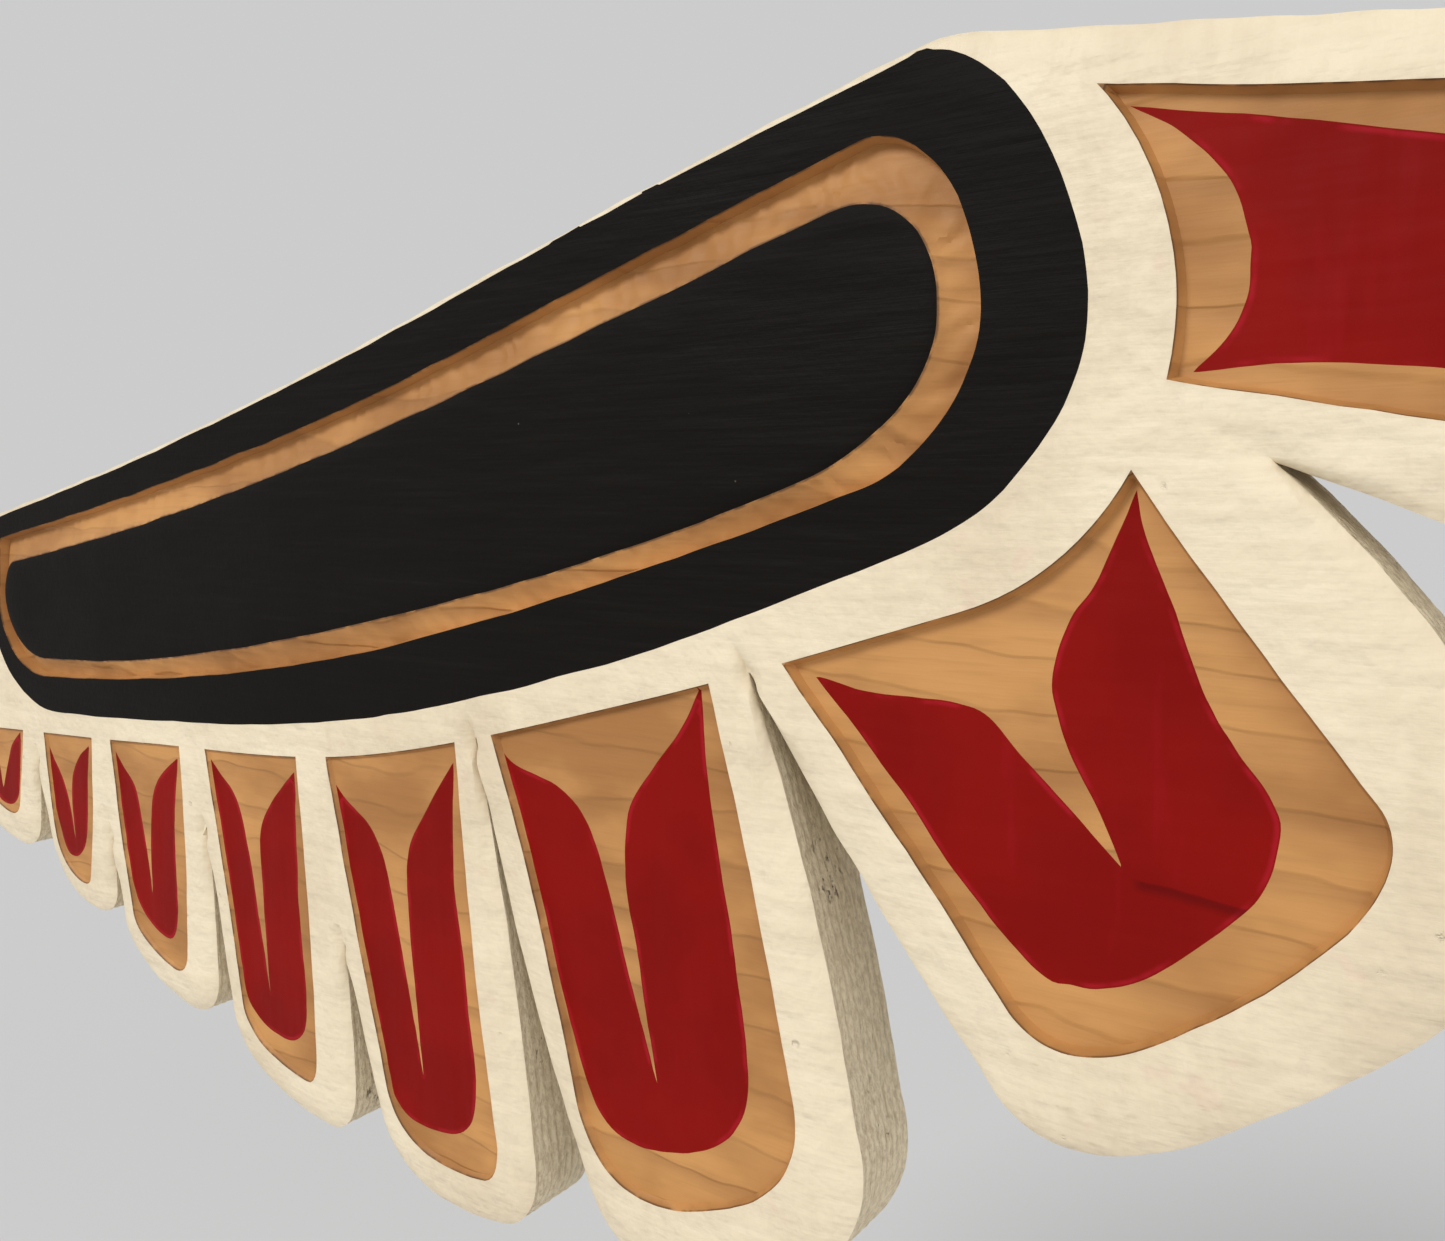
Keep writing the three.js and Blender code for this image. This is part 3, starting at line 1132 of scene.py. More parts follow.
    def rings(self, outline: np.ndarray, notches: list) -> tuple:
        """Directions in which the edge's rings move inwards, and how far.

        Args:
            outline: Spaced outline.
            notches: Numbers of the points at notches.

        Returns:
            The outward directions, and for each point how much of the rounding it takes.
        """
        outward = normals(outline)
        blend = 3
        smooth = sum(np.roll(outward, shift, axis=0) for shift in range(-blend, blend + 1))
        smooth /= np.linalg.norm(smooth, axis=1)[:, None]
        near_notch = np.zeros(len(outline), bool)
        for notch in notches:
            near_notch[np.arange(notch - blend, notch + blend + 1) % len(outline)] = True
        outward[near_notch] = smooth[near_notch]
        cut = outline[:, 0] < 1e-3
        takes = self.rounding_share(outline, notches)
        for index in np.flatnonzero(cut):
            ends = [k for k in (index - 1, (index + 1) % len(outline)) if not cut[k]]
            if ends:
                outward[index] = (0.0, math.copysign(1.0, outline[index][1]))
            else:
                takes[index] = 0.0
        return outward, takes

    def fill_points(self, edge: np.ndarray, lines: list) -> np.ndarray:
        """Points that fill the front between its lines.

        Args:
            edge: Front sheet's own outline.
            lines: Lines that the sheet's edges follow.

        Returns:
            Points on a triangular grid, clear of every line.
        """
        rows = []
        bands = (
            (0.0, self.middle_from, self.coarse),
            (self.middle_from, self.fine_from, self.middle),
            (self.fine_from, edge[:, 0].max(), self.fine),
        )
        low, high = edge[:, 1].min(), edge[:, 1].max()
        for start, end, step in bands:
            z_values = np.arange(low, high, step * self.row_height)
            for row, z in enumerate(z_values):
                x = np.arange(start + (row % 2) * step / 2, end, step)
                rows.append(np.column_stack([x, np.full(len(x), z)]))
        grid = np.vstack(rows)
        grid = grid[inside(grid, edge)]
        marks = np.vstack([resample(line, self.mark_spacing) for line in lines])
        tree = kdtree.KDTree(len(marks))
        for index, (x, z) in enumerate(marks):
            tree.insert((x, z, 0.0), index)
        tree.balance()
        clear = [tree.find((x, z, 0.0))[2] > self.clear_share * self.spacing(x) for x, z in grid]
        return grid[np.array(clear)]

    def pieces_of(self, line: np.ndarray, wanted: np.ndarray) -> list:
        """Stretches of a line whose points are wanted.

        Args:
            line: Line's points.
            wanted: One truth value for each point.

        Returns:
            The stretches of at least two points.
        """
        stretches, current = [], []
        for point, keep in zip(line, wanted):
            if keep:
                current.append(point)
            elif len(current) > 1:
                stretches.append(np.array(current))
                current = []
            else:
                current = []
        if len(current) > 1:
            stretches.append(np.array(current))
        return stretches

    def lines(self, edge: np.ndarray) -> list:
        """Every line of the plan that becomes edges of the front sheet.

        Args:
            edge: Front sheet's own outline.

        Returns:
            Open lines; a closed one repeats its first point.
        """
        plan = self.plan
        found = [closed(edge)]
        for outline in (plan.black, plan.groove, plan.groove_foot, plan.inner):
            found.append(self.fitted(outline))
        collar_foot = grown(plan.collar, plan.panel_wall)
        for panel in plan.panels:
            foot = grown(panel, -plan.panel_wall)
            for outline, fence in ((panel, plan.collar), (foot, collar_foot)):
                line = self.fitted(outline)
                found.extend(self.pieces_of(line, ~inside(line, grown(fence, -self.fence_margin))))
            for outline, fence in ((plan.collar, panel), (collar_foot, foot)):
                line = self.fitted(outline)
                found.extend(self.pieces_of(line, inside(line, grown(fence, self.fence_margin))))
        for red in plan.reds:
            found.append(self.fitted(red))
        shown = []
        for line in found[1:]:
            shown.extend(self.pieces_of(line, inside(line, grown(edge, -self.edge_margin))))
        return [found[0], *shown]

    def fitted(self, outline: np.ndarray) -> np.ndarray:
        """Closed outline with the mesh's spacing, its first point repeated."""
        spacing = min(self.spacing(float(outline[:, 0].mean())), self.middle)
        return resample(closed(outline), spacing)

    def sheet(self, edge: np.ndarray) -> tuple:
        """Flat front sheet, cut along every line of the plan.

        Args:
            edge: Sheet's own outline.

        Returns:
            The sheet's points and its triangles.
        """
        lines = self.lines(edge)
        points, edges = [], []
        for line in lines:
            first = len(points)
            ring = bool(np.allclose(line[0], line[-1]))
            own = line[:-1] if ring else line
            points.extend(own)
            edges.extend((first + k, first + k + 1) for k in range(len(own) - 1))
            if ring:
                edges.append((first + len(own) - 1, first))
        points.extend(self.fill_points(edge, lines))
        flat, faces, middles = triangulated(points, edges, 1e-3)
        kept = inside(middles, edge)
        return flat, [face for face, keep in zip(faces, kept) if keep]

    def build(self) -> bpy.types.Object:
        """Carve the board.

        Returns:
            The board's object.
        """
        outline, notches = self.spaced(self.silhouette())
        outward, takes = self.rings(outline, notches)
        self.carving.edge_takes = takes
        self.carving.notches = [(outline[k], self.gouge_direction(outline, k)) for k in notches]
        edge = outline - outward * (self.rounding * takes)[:, None]
        self.carving.edge = edge
        flat, faces = self.sheet(edge)
        depth = self.carving.depth(flat)
        mesh = bmesh.new()
        place = mesh.verts.layers.float.new("place")
        mesh.verts.layers.float.new("hollow")
        front = -self.thickness / 2
        made = [mesh.verts.new((x * MM, (front + d) * MM, z * MM)) for (x, z), d in zip(flat, depth)]
        finish = self.carving.finish_of(np.array([flat[list(f)].mean(axis=0) for f in faces]))
        for face, slot in zip(faces, finish):
            new = mesh.faces.new([made[k] for k in face])
            new.material_index = int(slot)
        bmesh.ops.delete(mesh, geom=[v for v in mesh.verts if not v.link_faces], context="VERTS")
        self._walls(mesh, place, outline, outward, takes, edge)
        self._back(mesh)
        bmesh.ops.recalc_face_normals(mesh, faces=mesh.faces)
        self._shade(mesh)
        self._mark_paint_edges(mesh)
        return self._object(mesh)

    def _walls(self, mesh: bmesh.types.BMesh, place: bmesh.types.BMLayerItem, outline: np.ndarray,
               outward: np.ndarray, takes: np.ndarray, edge: np.ndarray) -> None:
        """Rounded edge and side walls, drawn down from the sheet's rim ring by ring.

        Args:
            mesh: Mesh that holds the front sheet.
            place: Layer that keeps each rim point's number.
            outline: Spaced outline of the board.
            outward: Outward direction at each of its points.
            takes: Share of the rounding that each point takes.
            edge: Front sheet's outline.
        """
        sunk = mesh.verts.layers.float["hollow"]
        rim = [v for v in mesh.verts if v.is_boundary]
        start, end = edge, np.roll(edge, -1, axis=0)
        step = end - start
        length2 = np.maximum(np.einsum("ij,ij->i", step, step), 1e-12)
        spots = []
        for number, vert in enumerate(rim):
            here = np.array([vert.co.x, vert.co.z]) / MM
            t = np.clip(np.einsum("ij,ij->i", here - start, step) / length2, 0.0, 1.0)
            gap = np.linalg.norm(start + t[:, None] * step - here, axis=1)
            k = int(gap.argmin())
            after = (k + 1) % len(edge)
            share = t[k]
            wall = outline[k] * (1 - share) + outline[after] * share
            out = outward[k] * (1 - share) + outward[after] * share
            takes_here = takes[k] * (1 - share) + takes[after] * share
            spots.append((wall, out, takes_here, here, vert.co.y / MM + self.thickness / 2))
            vert[place] = number
        levels = self._levels()
        border = [e for e in mesh.edges if e.is_boundary]
        for depth, inset in levels:
            made = bmesh.ops.extrude_edge_only(mesh, edges=border)["geom"]
            border = [g for g in made if isinstance(g, bmesh.types.BMEdge)]
            for vert in {v for e in border for v in e.verts}:
                wall, out, share, here, hollow = spots[int(round(vert[place]))]
                spot = wall * (1 - inset) + here * inset
                fade = max(0.0, 1.0 - depth / self.rounding_depth)
                rough = self._roughness(wall, depth) * share
                spot = spot - out * rough
                y = depth + hollow * fade - self.thickness / 2
                vert.co = Vector((spot[0], y, spot[1])) * MM
                vert[sunk] = rough
            finish = Finish.WHITE if depth <= self.rounding_depth + 0.1 else Finish.EDGE
            for face in {f for e in border for f in e.link_faces}:
                cut = all(v.co.x < 1e-5 for v in face.verts)
                face.material_index = Finish.BACK.value if cut else finish.value

    def _levels(self) -> list:
        """Rings of the rounding and the side wall.

        Returns:
            The depth of each, and its share of the rounding's inset.
        """
        levels = []
        for step in range(1, self.rounding_steps + 1):
            turn = math.pi / 2 * step / self.rounding_steps
            straight = 1.0 - step / self.rounding_steps
            inset = self.straight_share * straight + (1.0 - self.straight_share) * (1.0 - math.sin(turn))
            fall = self.straight_share * (1.0 - straight) + (1.0 - self.straight_share) * (1.0 - math.cos(turn))
            levels.append((self.rounding_depth * fall, inset))
        last = self.thickness - self.back_bevel
        count = int((last - self.rounding_depth) / self.wall_step)
        for depth in np.linspace(self.rounding_depth, last, count + 1)[1:]:
            levels.append((float(depth), 0.0))
        levels.append((self.thickness, 0.12))
        return levels

    def _roughness(self, spot: np.ndarray, depth: float) -> float:
        """How far the wall lies inside its outline: growth ridges, grain and pits.

        Args:
            spot: Place of the plan.
            depth: Depth behind the front face.

        Returns:
            The distance.
        """
        x, z = float(spot[0]), float(spot[1])
        begins = float(smoothstep(np.array((depth - self.rounding_depth) / 0.8)))
        ends = float(smoothstep(np.array((self.thickness - depth) / 0.8)))
        drift = noise.noise((x / 60.0, depth / 14.0, z / 60.0))
        phase = (depth + 0.7 * drift) / self.ring_pitch
        ridge = (0.5 - 0.5 * math.cos(2.0 * math.pi * phase)) ** 1.6
        patch = 0.75 + 0.5 * noise.noise((x / 20.0, depth / 4.0, z / 20.0))
        grain = 0.5 + noise.noise((x / 1.3, depth / 0.6, z / 1.3))
        pit = max(0.0, noise.noise((x / 1.5, depth / 0.8, z / 1.5)) - 0.4) * 2.4
        deep = math.exp(-(((depth - 9.0) / 2.2) ** 2)) * (0.5 + noise.noise((x / 15.0, 7.0, z / 15.0)))
        return begins * ends * (self.ring_depth * ridge * patch + 0.2 * grain + pit * max(0.12, deep))

    def _back(self, mesh: bmesh.types.BMesh) -> None:
        """Flat back, closed over.

        Args:
            mesh: Mesh that holds the front and the walls.
        """
        border = [e for e in mesh.edges if e.is_boundary]
        made = bmesh.ops.edgeloop_fill(mesh, edges=border)["faces"]
        for face in made:
            face.material_index = Finish.BACK.value
        bmesh.ops.triangulate(mesh, faces=made, ngon_method="BEAUTY")

    def _shade(self, mesh: bmesh.types.BMesh) -> None:
        """Smooth shading with sharp edges where the knife left them.

        Args:
            mesh: Whole board.
        """
        limit = math.radians(self.sharp_angle)
        for face in mesh.faces:
            face.smooth = True
        for line in mesh.edges:
            line.smooth = len(line.link_faces) == 2 and line.calc_face_angle(0.0) < limit

    def _mark_paint_edges(self, mesh: bmesh.types.BMesh) -> None:
        """Store each point's distance from the nearest change of finish and from the nearest cut wall.

        Args:
            mesh: Whole board.
        """
        walls = {Finish.WHITE.value, Finish.BLACK.value}
        found = {"edge_mm": [], "wall_mm": []}
        for vert in mesh.verts:
            met = {face.material_index for face in vert.link_faces}
            if len(met) > 1:
                found["edge_mm"].append(vert.co / MM)
                if Finish.WOOD.value in met and met & walls:
                    found["wall_mm"].append(vert.co / MM)
        for name, marks in found.items():
            layer = mesh.verts.layers.float.new(name)
            tree = kdtree.KDTree(len(marks))
            for index, spot in enumerate(marks):
                tree.insert(spot, index)
            tree.balance()
            for vert in mesh.verts:
                vert[layer] = min(tree.find(vert.co / MM)[2], FARTHEST_MARK)

    def _object(self, mesh: bmesh.types.BMesh) -> bpy.types.Object:
        """Object that holds the finished mesh.

        Args:
            mesh: Whole board.

        Returns:
            The object.
        """
        data = bpy.data.meshes.new("carved_wing")
        mesh.to_mesh(data)
        mesh.free()
        made = bpy.data.objects.new("carved_wing", data)
        bpy.context.scene.collection.objects.link(made)
        return made


class Value:
    """Socket of a shader node that takes part in plain arithmetic."""

    def __init__(self, shader: "Shader", socket: bpy.types.NodeSocket) -> None:
        """Wrap a socket.

        Args:
            shader: Shader that the socket belongs to.
            socket: Output socket.
        """
        self.shader = shader
        self.socket = socket

    def _math(self, operation: str, first: "Value | float", second: "Value | float" = 0.0) -> "Value":
        """Math node on two values."""
        return self.shader.add("ShaderNodeMath", {"operation": operation}, {0: first, 1: second})

    def __add__(self, other: "Value | float") -> "Value":
        """Sum."""
        return self._math("ADD", self, other)

    __radd__ = __add__

    def __sub__(self, other: "Value | float") -> "Value":
        """Difference."""
        return self._math("SUBTRACT", self, other)

    def __rsub__(self, other: "Value | float") -> "Value":
        """Difference from a number."""
        return self._math("SUBTRACT", other, self)

    def __mul__(self, other: "Value | float") -> "Value":
        """Product."""
        return self._math("MULTIPLY", self, other)

    __rmul__ = __mul__

    def __truediv__(self, other: "Value | float") -> "Value":
        """Quotient."""
        return self._math("DIVIDE", self, other)

    def fraction(self) -> "Value":
        """Part after the decimal point."""
        return self._math("FRACT", self)

    def between(self, low: float, high: float) -> "Value":
        """Rise from 0 to 1 as the value goes from low to high, eased at both ends."""
        return self.shader.add(
            "ShaderNodeMapRange", {"interpolation_type": "SMOOTHSTEP"}, {"Value": self, 1: low, 2: high})

    def within(self, low: float, full: float, last: float, high: float) -> "Value":
        """Rise from 0 at low to 1 at full, and fall from last back to 0 at high."""
        return self.between(low, full) * (1.0 - self.between(last, high))


class Shader:
    """Node tree of one material, with helpers named for what they lay on the wood."""

    def __init__(self, name: str) -> None:
        """Start an empty material.

        Args:
            name: Material's name.
        """
        self.material = bpy.data.materials.new(name)
        self.material.use_nodes = True
        self.tree = self.material.node_tree
        self.tree.nodes.clear()
        output = self.tree.nodes.new("ShaderNodeOutputMaterial")
        self.surface = self.tree.nodes.new("ShaderNodeBsdfPrincipled")
        self.tree.links.new(self.surface.outputs[0], output.inputs[0])
        self.place = self.add("ShaderNodeTexCoord", output="Object")

    def add(self, kind: str, settings: dict | None = None, inputs: dict | None = None,
            output: int | str = 0) -> Value:
        """Add a node.

        Args:
            kind: Node's type.
            settings: Properties set before its sockets.
            inputs: Values or links of its sockets.
            output: Name or number of the socket to return.

        Returns:
            The output socket.
        """
        node = self.tree.nodes.new(kind)
        for name, value in (settings or {}).items():
            setattr(node, name, value)
        for name, value in (inputs or {}).items():
            self.put(node.inputs[name], value)
        return Value(self, node.outputs[output])

    def put(self, socket: bpy.types.NodeSocket, value: Value | float | tuple) -> None:
        """Link or set a socket.

        Args:
            socket: Input socket.
            value: Value to link, or a number, a colour or a vector.
        """
        if isinstance(value, Value):
            self.tree.links.new(value.socket, socket)
        elif isinstance(value, tuple) and len(value) == 3 and len(socket.default_value) == 4:
            socket.default_value = (*value, 1.0)
        else:
            socket.default_value = value

    def set(self, name: str, value: Value | float | tuple) -> None:
        """Link or set a socket of the surface."""
        self.put(self.surface.inputs[name], value)

    def noise(self, at: Value, scale: float, detail: float, rough: float) -> Value:
        """Soft random value from 0 to 1."""
        return self.add("ShaderNodeTexNoise", {}, {
            "Vector": at, "Scale": scale, "Detail": detail, "Roughness": rough}, "Fac")

    def cloud(self, scale: float, detail: float, rough: float) -> Value:
        """Soft random value that is alike in every direction."""
        return self.noise(self.place, scale, detail, rough)

    def streaks(self, scale: tuple, detail: float, rough: float, lean: float = 0.0) -> Value:
        """Soft random value drawn out by its scale along each axis, and leant in the front plane."""
        at = self.add("ShaderNodeMapping", {}, {
            "Vector": self.place, "Rotation": (0.0, lean, 0.0), "Scale": scale})
        return self.noise(at, 1.0, detail, rough)

    def dots(self, scale: float, small: float, wide: float) -> Value:
        """1 on small scattered dots, fading to 0 from their small to their wide size."""
        gap = self.add("ShaderNodeTexVoronoi", {}, {"Vector": self.place, "Scale": scale}, "Distance")
        return 1.0 - gap.between(small, wide)

    def axis(self, name: str) -> Value:
        """One object coordinate."""
        return self.add("ShaderNodeSeparateXYZ", {}, {0: self.place}, name)

    def gap(self, name: str) -> Value:
        """Distance in millimetres that the mesh stores: edge_mm, wall_mm, or hollow."""
        return self.add("ShaderNodeAttribute", {"attribute_name": name}, {}, "Fac")

    def beside(self, name: str, near: float, far: float) -> Value:
        """1 up to a near distance in millimetres from a stored mark, fading to 0 at a far one."""
        return 1.0 - self.gap(name).between(near, far)

    def mix(self, share: Value | float, first: Value | tuple, second: Value | tuple) -> Value:
        """Colour between two colours."""
        return self.add("ShaderNodeMix", {"data_type": "RGBA"}, {0: share, 6: first, 7: second}, 2)

    def finish(self, colour: Value, roughness: Value, gloss: float, *layers: tuple) -> bpy.types.Material:
        """Lay the colour, the roughness and the bumps on the surface.

        Args:
            colour: Base colour.
            roughness: Roughness over the surface.
            gloss: Specular level.
            layers: Pairs of a height and the distance in metres that it stands for.

        Returns:
            The finished material.
        """
        self.set("Base Color", colour)
        self.set("Roughness", roughness)
        self.set("Specular IOR Level", gloss)
        normal = None
        for height, reach in layers:
            inputs = {"Height": height, "Distance": reach, "Strength": 1.0}
            if normal:
                inputs["Normal"] = normal
            normal = self.add("ShaderNodeBump", {}, inputs, "Normal")
        self.set("Normal", normal)
        return self.material


@dataclass(frozen=True)
class WhitePaint:
    """Thick warm white paint brushed over the rims and the collar."""

    name: str = "white_paint"
    body: tuple = (0.80, 0.69, 0.50)
    thin: tuple = (0.68, 0.56, 0.39)
    smudge: tuple = (0.56, 0.47, 0.38)
    blush: tuple = (0.74, 0.53, 0.40)
    gloss: float = 0.4

    def build(self) -> bpy.types.Material:
        """Make the material.

        Returns:
            The material.
        """
        s = Shader(self.name)
        strokes = s.streaks((50.0, 60.0, 380.0), 4.0, 0.5, 0.35)
        across = s.streaks((360.0, 60.0, 60.0), 4.0, 0.5, -0.25)
        lumps = s.cloud(110.0, 3.0, 0.5)
        clouds = s.cloud(26.0, 4.0, 0.6)
        wear = s.cloud(85.0, 6.0, 0.7)
        brushed = s.mix(clouds.between(0.42, 0.58), strokes, across)
        colour = s.mix(clouds.between(0.38, 0.74) * 0.8, self.body, self.thin)
        colour = s.mix(brushed.between(0.42, 0.66) * 0.3, colour, self.thin)
        colour = s.mix(wear.between(0.6, 0.72) * 0.3, colour, self.smudge)
        rub = s.cloud(140.0, 3.0, 0.55).between(0.62, 0.72)
        colour = s.mix(rub * clouds.between(0.45, 0.6) * 0.35, colour, self.blush)
        thin_edge = s.beside("edge_mm", 0.0, 0.6) * wear.between(0.42, 0.62)
        colour = s.mix(thin_edge * 0.4, colour, self.thin)
        nicks = s.dots(95.0, 0.03, 0.09) * wear.between(0.5, 0.6)
        grit = s.cloud(900.0, 2.0, 0.5)
        return s.finish(
            colour, 0.46 + 0.24 * wear, self.gloss,
            (strokes * 0.6 + across * 0.4, 0.0007), (lumps, 0.0016), (grit, 0.0001), (nicks * -1.0, 0.0004))


@dataclass(frozen=True)
class EdgePaint:
    """White paint soaked into the rough side walls, with open grain, dark pits, and painted shade and dirt in
    the growth ridges' hollows.
    """

    name: str = "edge_paint"
    body: tuple = (0.93, 0.8, 0.57)
    hollow: tuple = (0.72, 0.59, 0.4)
    # Colour of the growth ridges' hollows: painted shade and dirt.
    groove: tuple = (0.5, 0.39, 0.25)
    pit: tuple = (0.13, 0.08, 0.045)
    gloss: float = 0.3

    def build(self) -> bpy.types.Material:
        """Make the material.

        Returns:
            The material.
        """
        s = Shader(self.name)
        crumbs = s.streaks((620.0, 1300.0, 620.0), 5.0, 0.68)
        grain = s.streaks((260.0, 900.0, 260.0), 4.0, 0.6)
        holes = s.streaks((420.0, 900.0, 420.0), 3.0, 0.65)
        zones = s.cloud(42.0, 2.0, 0.5)
        middle = s.axis("Y").within(-0.006, -0.002, 0.001, 0.005)
        colour = s.mix(crumbs.between(0.36, 0.6), self.hollow, self.body)
        colour = s.mix(grain.between(0.5, 0.68) * 0.25, colour, self.hollow)
        # Darker where the wall sinks between growth ridges: painted shade and dirt in the hollows.
        colour = s.mix(s.gap("hollow").between(0.2, 0.56) * 0.6, colour, self.groove)
        pits = holes.between(0.6, 0.7) * zones.between(0.5, 0.62) * (0.15 + middle)
        colour = s.mix(pits, colour, self.pit)
        return s.finish(
            colour, 0.62 + 0.2 * crumbs, self.gloss, (grain, 0.0007), (crumbs, 0.0008), (pits * -1.0, 0.0008))


@dataclass(frozen=True)
class BlackPaint:
    """Satin black paint with faint brush lines and specks of dust."""

    name: str = "black_paint"
    body: tuple = (0.0062, 0.0048, 0.0038)
    worn: tuple = (0.0092, 0.0073, 0.0058)
    dust: tuple = (0.2, 0.18, 0.15)
    gloss: float = 0.07

    def build(self) -> bpy.types.Material:
        """Make the material.

        Returns:
            The material.
        """
        s = Shader(self.name)
        strokes = s.streaks((30.0, 40.0, 620.0), 4.0, 0.6, 0.28)
        patches = s.cloud(38.0, 3.0, 0.5)
        ridges = s.streaks((45.0, 40.0, 190.0), 2.0, 0.5, 0.32)
        specks = s.dots(120.0, 0.014, 0.026) * s.cloud(61.0, 1.0, 0.5).between(0.6, 0.64)
        colour = s.mix(strokes.between(0.5, 0.75) * 0.6, self.body, self.worn)
        rubbed = s.beside("edge_mm", 0.0, 0.5) * strokes.between(0.45, 0.6)
        colour = s.mix(rubbed * 0.5, colour, self.worn)
        colour = s.mix(specks * 0.45, colour, self.dust)
        grit = s.cloud(700.0, 3.0, 0.6)
        return s.finish(
            colour, 0.44 + 0.2 * patches + 0.1 * strokes, self.gloss,
            (strokes, 0.00022), (ridges, 0.0005), (grit, 0.0001))


@dataclass(frozen=True)
class RedPaint:
    """Deep red paint, brighter in a thin line where the brush ran along its edges, with a painted shadow line
    along the knife crease under one split.
    """

    name: str = "red_paint"
    body: tuple = (0.238, 0.0042, 0.0024)
    deep: tuple = (0.20, 0.0034, 0.0022)
    bright: tuple = (0.40, 0.010, 0.022)
    # Colour of the painted shadow line along the knife crease under one split.
    crease_shadow: tuple = (0.09, 0.002, 0.002)
    gloss: float = 0.07
    crease_height: float = -0.0187
    crease_from: float = 0.3445
    crease_to: float = 0.3625
    crease_fall: float = 0.1
    crease_waver: float = 0.0012

    def build(self) -> bpy.types.Material:
        """Make the material.

        Returns:
            The material.
        """
        s = Shader(self.name)
        strokes = s.streaks((140.0, 60.0, 22.0), 3.0, 0.5, -0.2)
        patches = s.cloud(40.0, 3.0, 0.5)
        broken = s.cloud(90.0, 3.0, 0.6)
        band = s.gap("edge_mm").within(0.05, 0.35, 0.45, 1.2)
        colour = s.mix(patches.between(0.35, 0.65), self.deep, self.body)
        colour = s.mix(band * broken.between(0.42, 0.6) * 0.6, colour, self.bright)
        colour = s.mix(strokes.between(0.62, 0.78) * 0.18, colour, self.bright)
        # Painted shadow line where a knife crease runs from one split's end across the red.
        x, z = s.axis("X"), s.axis("Z") + self.crease_waver * broken
        along = x.within(self.crease_from, self.crease_from + 0.002, self.crease_to - 0.003, self.crease_to)
        above = z / MM - self.crease_height / MM + (x / MM - self.crease_from / MM) * self.crease_fall
        crease_shadow = above.within(-2.0, -0.2, 0.0, 0.5) * along
        colour = s.mix(crease_shadow * 0.6, colour, self.crease_shadow)
        grain = s.streaks((40.0, 60.0, 240.0), 2.0, 0.5)
        return s.finish(colour, 0.42 + 0.2 * patches, self.gloss, (strokes, 0.0003), (grain, 0.0002))


@dataclass(frozen=True)
class BareWood:
    """Oiled bare wood with wavy growth lines that run along the wing, darker beside the cut walls with painted
    shade and stain, and a thin line of painted shadow and dirt at their foot.
    """

    name: str = "bare_wood"
    light: tuple = (0.57, 0.28, 0.09)
    middle: tuple = (0.37, 0.165, 0.048)
    line: tuple = (0.235, 0.10, 0.031)
    # Dark colour at the foot of the cut walls: painted shadow and dirt.
    soot_and_shadow: tuple = (0.075, 0.034, 0.014)
    gloss: float = 0.3
    pitch: float = 0.0095

    def build(self) -> bpy.types.Material:
        """Make the material.

        Returns:
            The material.
        """
        s = Shader(self.name)
        x, z = s.axis("X"), s.axis("Z")
        drift = s.streaks((9.0, 9.0, 22.0), 3.0, 0.5)
        ripple = s.streaks((45.0, 45.0, 120.0), 2.0, 0.5)
        rings = (z / self.pitch + drift * 3.0 + ripple * 0.6 + x * 2.0).fraction()
        late = rings.within(0.4, 0.9, 0.9, 1.0)
        shown = s.streaks((14.0, 14.0, 50.0), 2.0, 0.5).between(0.42, 0.62)
        fibre = s.streaks((60.0, 200.0, 900.0), 3.0, 0.5)
        clouds = s.streaks((22.0, 22.0, 45.0), 4.0, 0.55)
        colour = s.mix(clouds.between(0.34, 0.66), self.light, self.middle)
        colour = s.mix(late * (0.08 + 0.26 * shown), colour, self.line)
        colour = s.mix(fibre.between(0.5, 0.75) * 0.14, colour, self.line)
        ragged = s.cloud(260.0, 3.0, 0.6)
        # Darker towards the cut walls: a broad painted shade with stain, then a thin dark line at the wall's
        # foot that is painted shadow and dirt.
        stain_and_shade = s.beside("wall_mm", 0.2, 2.2) * ragged.between(0.3, 0.65)
        colour = s.mix(stain_and_shade * 0.3, colour, self.line)
        dirt_and_shadow = s.beside("wall_mm", 0.15, 0.6) * ragged.between(0.3, 0.55)
        colour = s.mix(dirt_and_shadow * 0.75, colour, self.soot_and_shadow)
        cuts = s.streaks((160.0, 80.0, 60.0), 3.0, 0.5, 0.2)
        return s.finish(
            colour, 0.5 + 0.18 * fibre, self.gloss, (late * -1.0, 0.0002), (fibre, 0.0001), (cuts, 0.00022))


@dataclass(frozen=True)
class SawnBack:
    """Plain sawn wood of the back and the root cut, with saw marks across it."""

    name: str = "sawn_back"
    light: tuple = (0.53, 0.305, 0.13)
    dark: tuple = (0.30, 0.15, 0.055)
    gloss: float = 0.25
    pitch: float = 0.011
    pitch_through: float = 0.0026
    saw_pitch: float = 0.0028

    def build(self) -> bpy.types.Material:
        """Make the material.

        Returns:
            The material.
        """
        s = Shader(self.name)
        x, y, z = s.axis("X"), s.axis("Y"), s.axis("Z")
        drift = s.streaks((5.0, 5.0, 16.0), 3.0, 0.5)
        rings = (z / self.pitch + y / self.pitch_through + drift * 4.0).fraction()
        late = rings.within(0.5, 0.92, 0.92, 1.0)
        fibre = s.streaks((70.0, 300.0, 1500.0), 4.0, 0.6)
        saw = (x / self.saw_pitch + s.cloud(20.0, 2.0, 0.5) * 1.5).fraction()
        marks = (saw - 0.5) * (saw - 0.5) * 4.0
        colour = s.mix(late * 0.4, self.light, self.dark)
        colour = s.mix(fibre.between(0.45, 0.7) * 0.3, colour, self.dark)
        return s.finish(
            colour, 0.68 + 0.15 * fibre, self.gloss, (marks, 0.00012), (fibre, 0.0003), (late * -1.0, 0.0002))


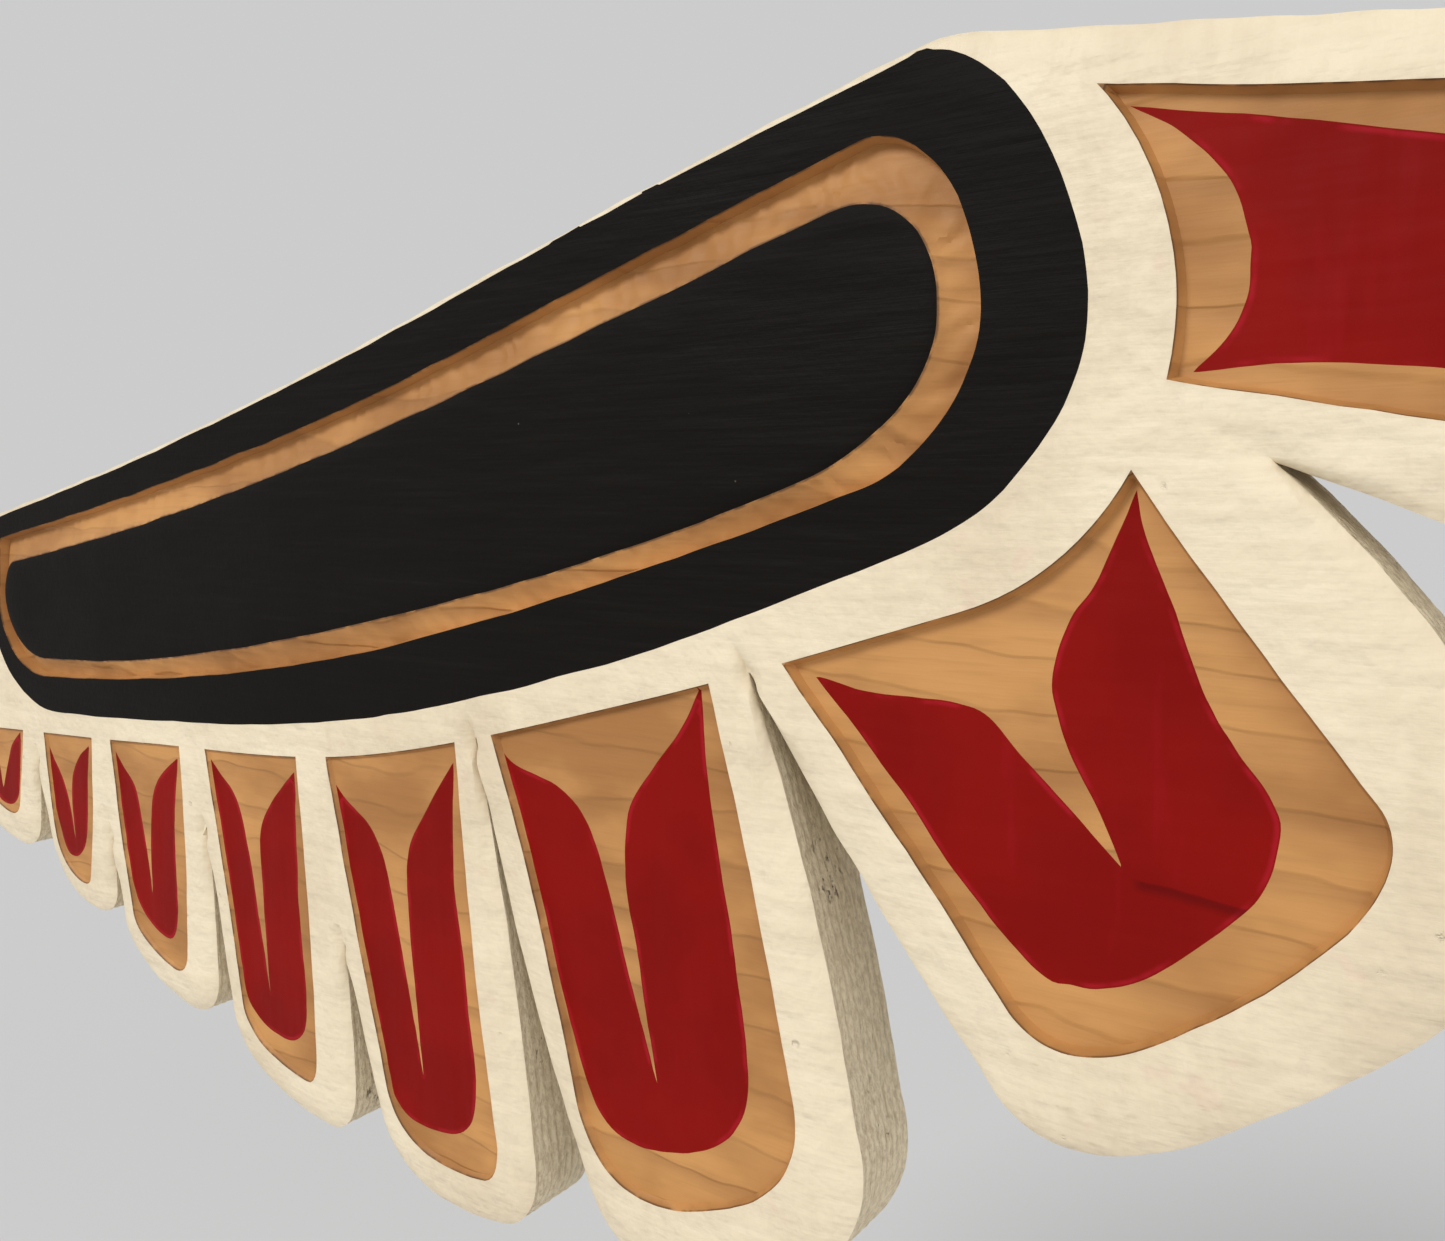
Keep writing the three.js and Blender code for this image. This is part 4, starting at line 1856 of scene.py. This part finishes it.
@dataclass(frozen=True)
class Studio:
    """Pale floor, even light all round, a broad light from the upper left and a weaker one from the right."""

    floor_drop: float = 0.22
    floor_size: float = 8.0
    pale: tuple = (0.71, 0.71, 0.71)
    backdrop: float = 0.604
    even_light: float = 0.45
    key_power: float = 1.85
    key_spread: float = 20.0
    towards_key: tuple = (-0.35, -0.75, 0.56)
    fill_power: float = 1.3
    fill_spread: float = 60.0
    towards_fill: tuple = (0.84, -0.46, 0.12)

    def build(self, low: float) -> None:
        """Lay the floor and hang the lights.

        Args:
            low: Height of the object's lowest point.
        """
        mesh = bmesh.new()
        bmesh.ops.create_grid(mesh, x_segments=2, y_segments=2, size=self.floor_size)
        bmesh.ops.translate(mesh, verts=mesh.verts, vec=(0.0, 0.0, low - self.floor_drop))
        data = bpy.data.meshes.new("floor")
        mesh.to_mesh(data)
        mesh.free()
        floor = bpy.data.objects.new("floor", data)
        bpy.context.scene.collection.objects.link(floor)
        s = Shader("pale_floor")
        s.set("Base Color", self.pale)
        s.set("Roughness", 0.9)
        s.set("Specular IOR Level", 0.1)
        data.materials.append(s.material)
        self._sky()
        self._sun("key", self.towards_key, self.key_power, self.key_spread)
        self._sun("fill", self.towards_fill, self.fill_power, self.fill_spread)
        bpy.context.scene.view_settings.view_transform = "Standard"

    def _sky(self) -> None:
        """Grey backdrop that lights the wing evenly, a little weaker than it looks."""
        world = bpy.data.worlds.new("studio")
        world.use_nodes = True
        tree = world.node_tree
        shade = tree.nodes["Background"]
        shade.inputs["Color"].default_value = (1.0, 1.0, 1.0, 1.0)
        seen = tree.nodes.new("ShaderNodeLightPath")
        strength = tree.nodes.new("ShaderNodeMapRange")
        strength.inputs["To Min"].default_value = self.even_light
        strength.inputs["To Max"].default_value = self.backdrop
        tree.links.new(seen.outputs["Is Camera Ray"], strength.inputs["Value"])
        tree.links.new(strength.outputs["Result"], shade.inputs["Strength"])
        bpy.context.scene.world = world

    def _sun(self, name: str, towards: tuple, power: float, spread: float) -> None:
        """Hang one broad light, far enough away to fall evenly.

        Args:
            name: Light's name.
            towards: Direction to the light.
            power: Its strength.
            spread: Angle that it fills, in degrees.
        """
        data = bpy.data.lights.new(name, "SUN")
        data.energy = power
        data.angle = math.radians(spread)
        lamp = bpy.data.objects.new(name, data)
        lamp.location = towards
        lamp.rotation_mode = "QUATERNION"
        lamp.rotation_quaternion = Vector(towards).to_track_quat("Z", "Y")
        bpy.context.scene.collection.objects.link(lamp)


@dataclass(frozen=True)
class PhotoCamera:
    """Camera at the photograph's place.

    The pixel of the picture where lines square to the board meet gives the camera's turn.
    """

    picture: tuple = (1445.0, 1241.0)
    focal: float = 1250.0
    meeting: tuple = (1600.0, 500.0)
    foot: tuple = (0.397, 0.035)
    reach: float = 0.175
    sensor: float = 36.0

    def build(self, front: float) -> None:
        """Place the camera.

        Args:
            front: The board's front face along Y.
        """
        wide, high = self.picture
        into = Vector((self.meeting[0] - wide / 2, self.meeting[1] - high / 2, self.focal)).normalized()
        right = Vector((1.0, 0.0, 0.0))
        along = (right - into * right.dot(into)).normalized()
        up = -into.cross(along)
        turn = Matrix((
            (along.x, -along.y, -along.z), (into.x, -into.y, -into.z), (up.x, -up.y, -up.z)))
        data = bpy.data.cameras.new("photo_camera")
        data.sensor_width = self.sensor
        data.lens = self.focal / wide * self.sensor
        data.clip_start = 0.01
        camera = bpy.data.objects.new("photo_camera", data)
        place = Matrix.Translation((self.foot[0], front - self.reach, self.foot[1]))
        camera.matrix_world = place @ turn.to_4x4()
        bpy.context.scene.collection.objects.link(camera)
        bpy.context.scene.camera = camera


def main() -> None:
    """Build the wing round its frame, light it and place the camera."""
    low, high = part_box("wing")
    plan = WingPlan()
    board = WingBoard(plan, Carving(plan), thickness=(high[1] - low[1]) / MM)
    wing = board.build()
    for paint in (WhitePaint(), BlackPaint(), RedPaint(), BareWood(), EdgePaint(), SawnBack()):
        wing.data.materials.append(paint.build())
    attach(wing, "root")
    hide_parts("wing")
    log.info("carved_wing: %d faces", len(wing.data.polygons))
    Studio().build(low[2])
    PhotoCamera().build(low[1])


if __name__ == "__main__":
    main()
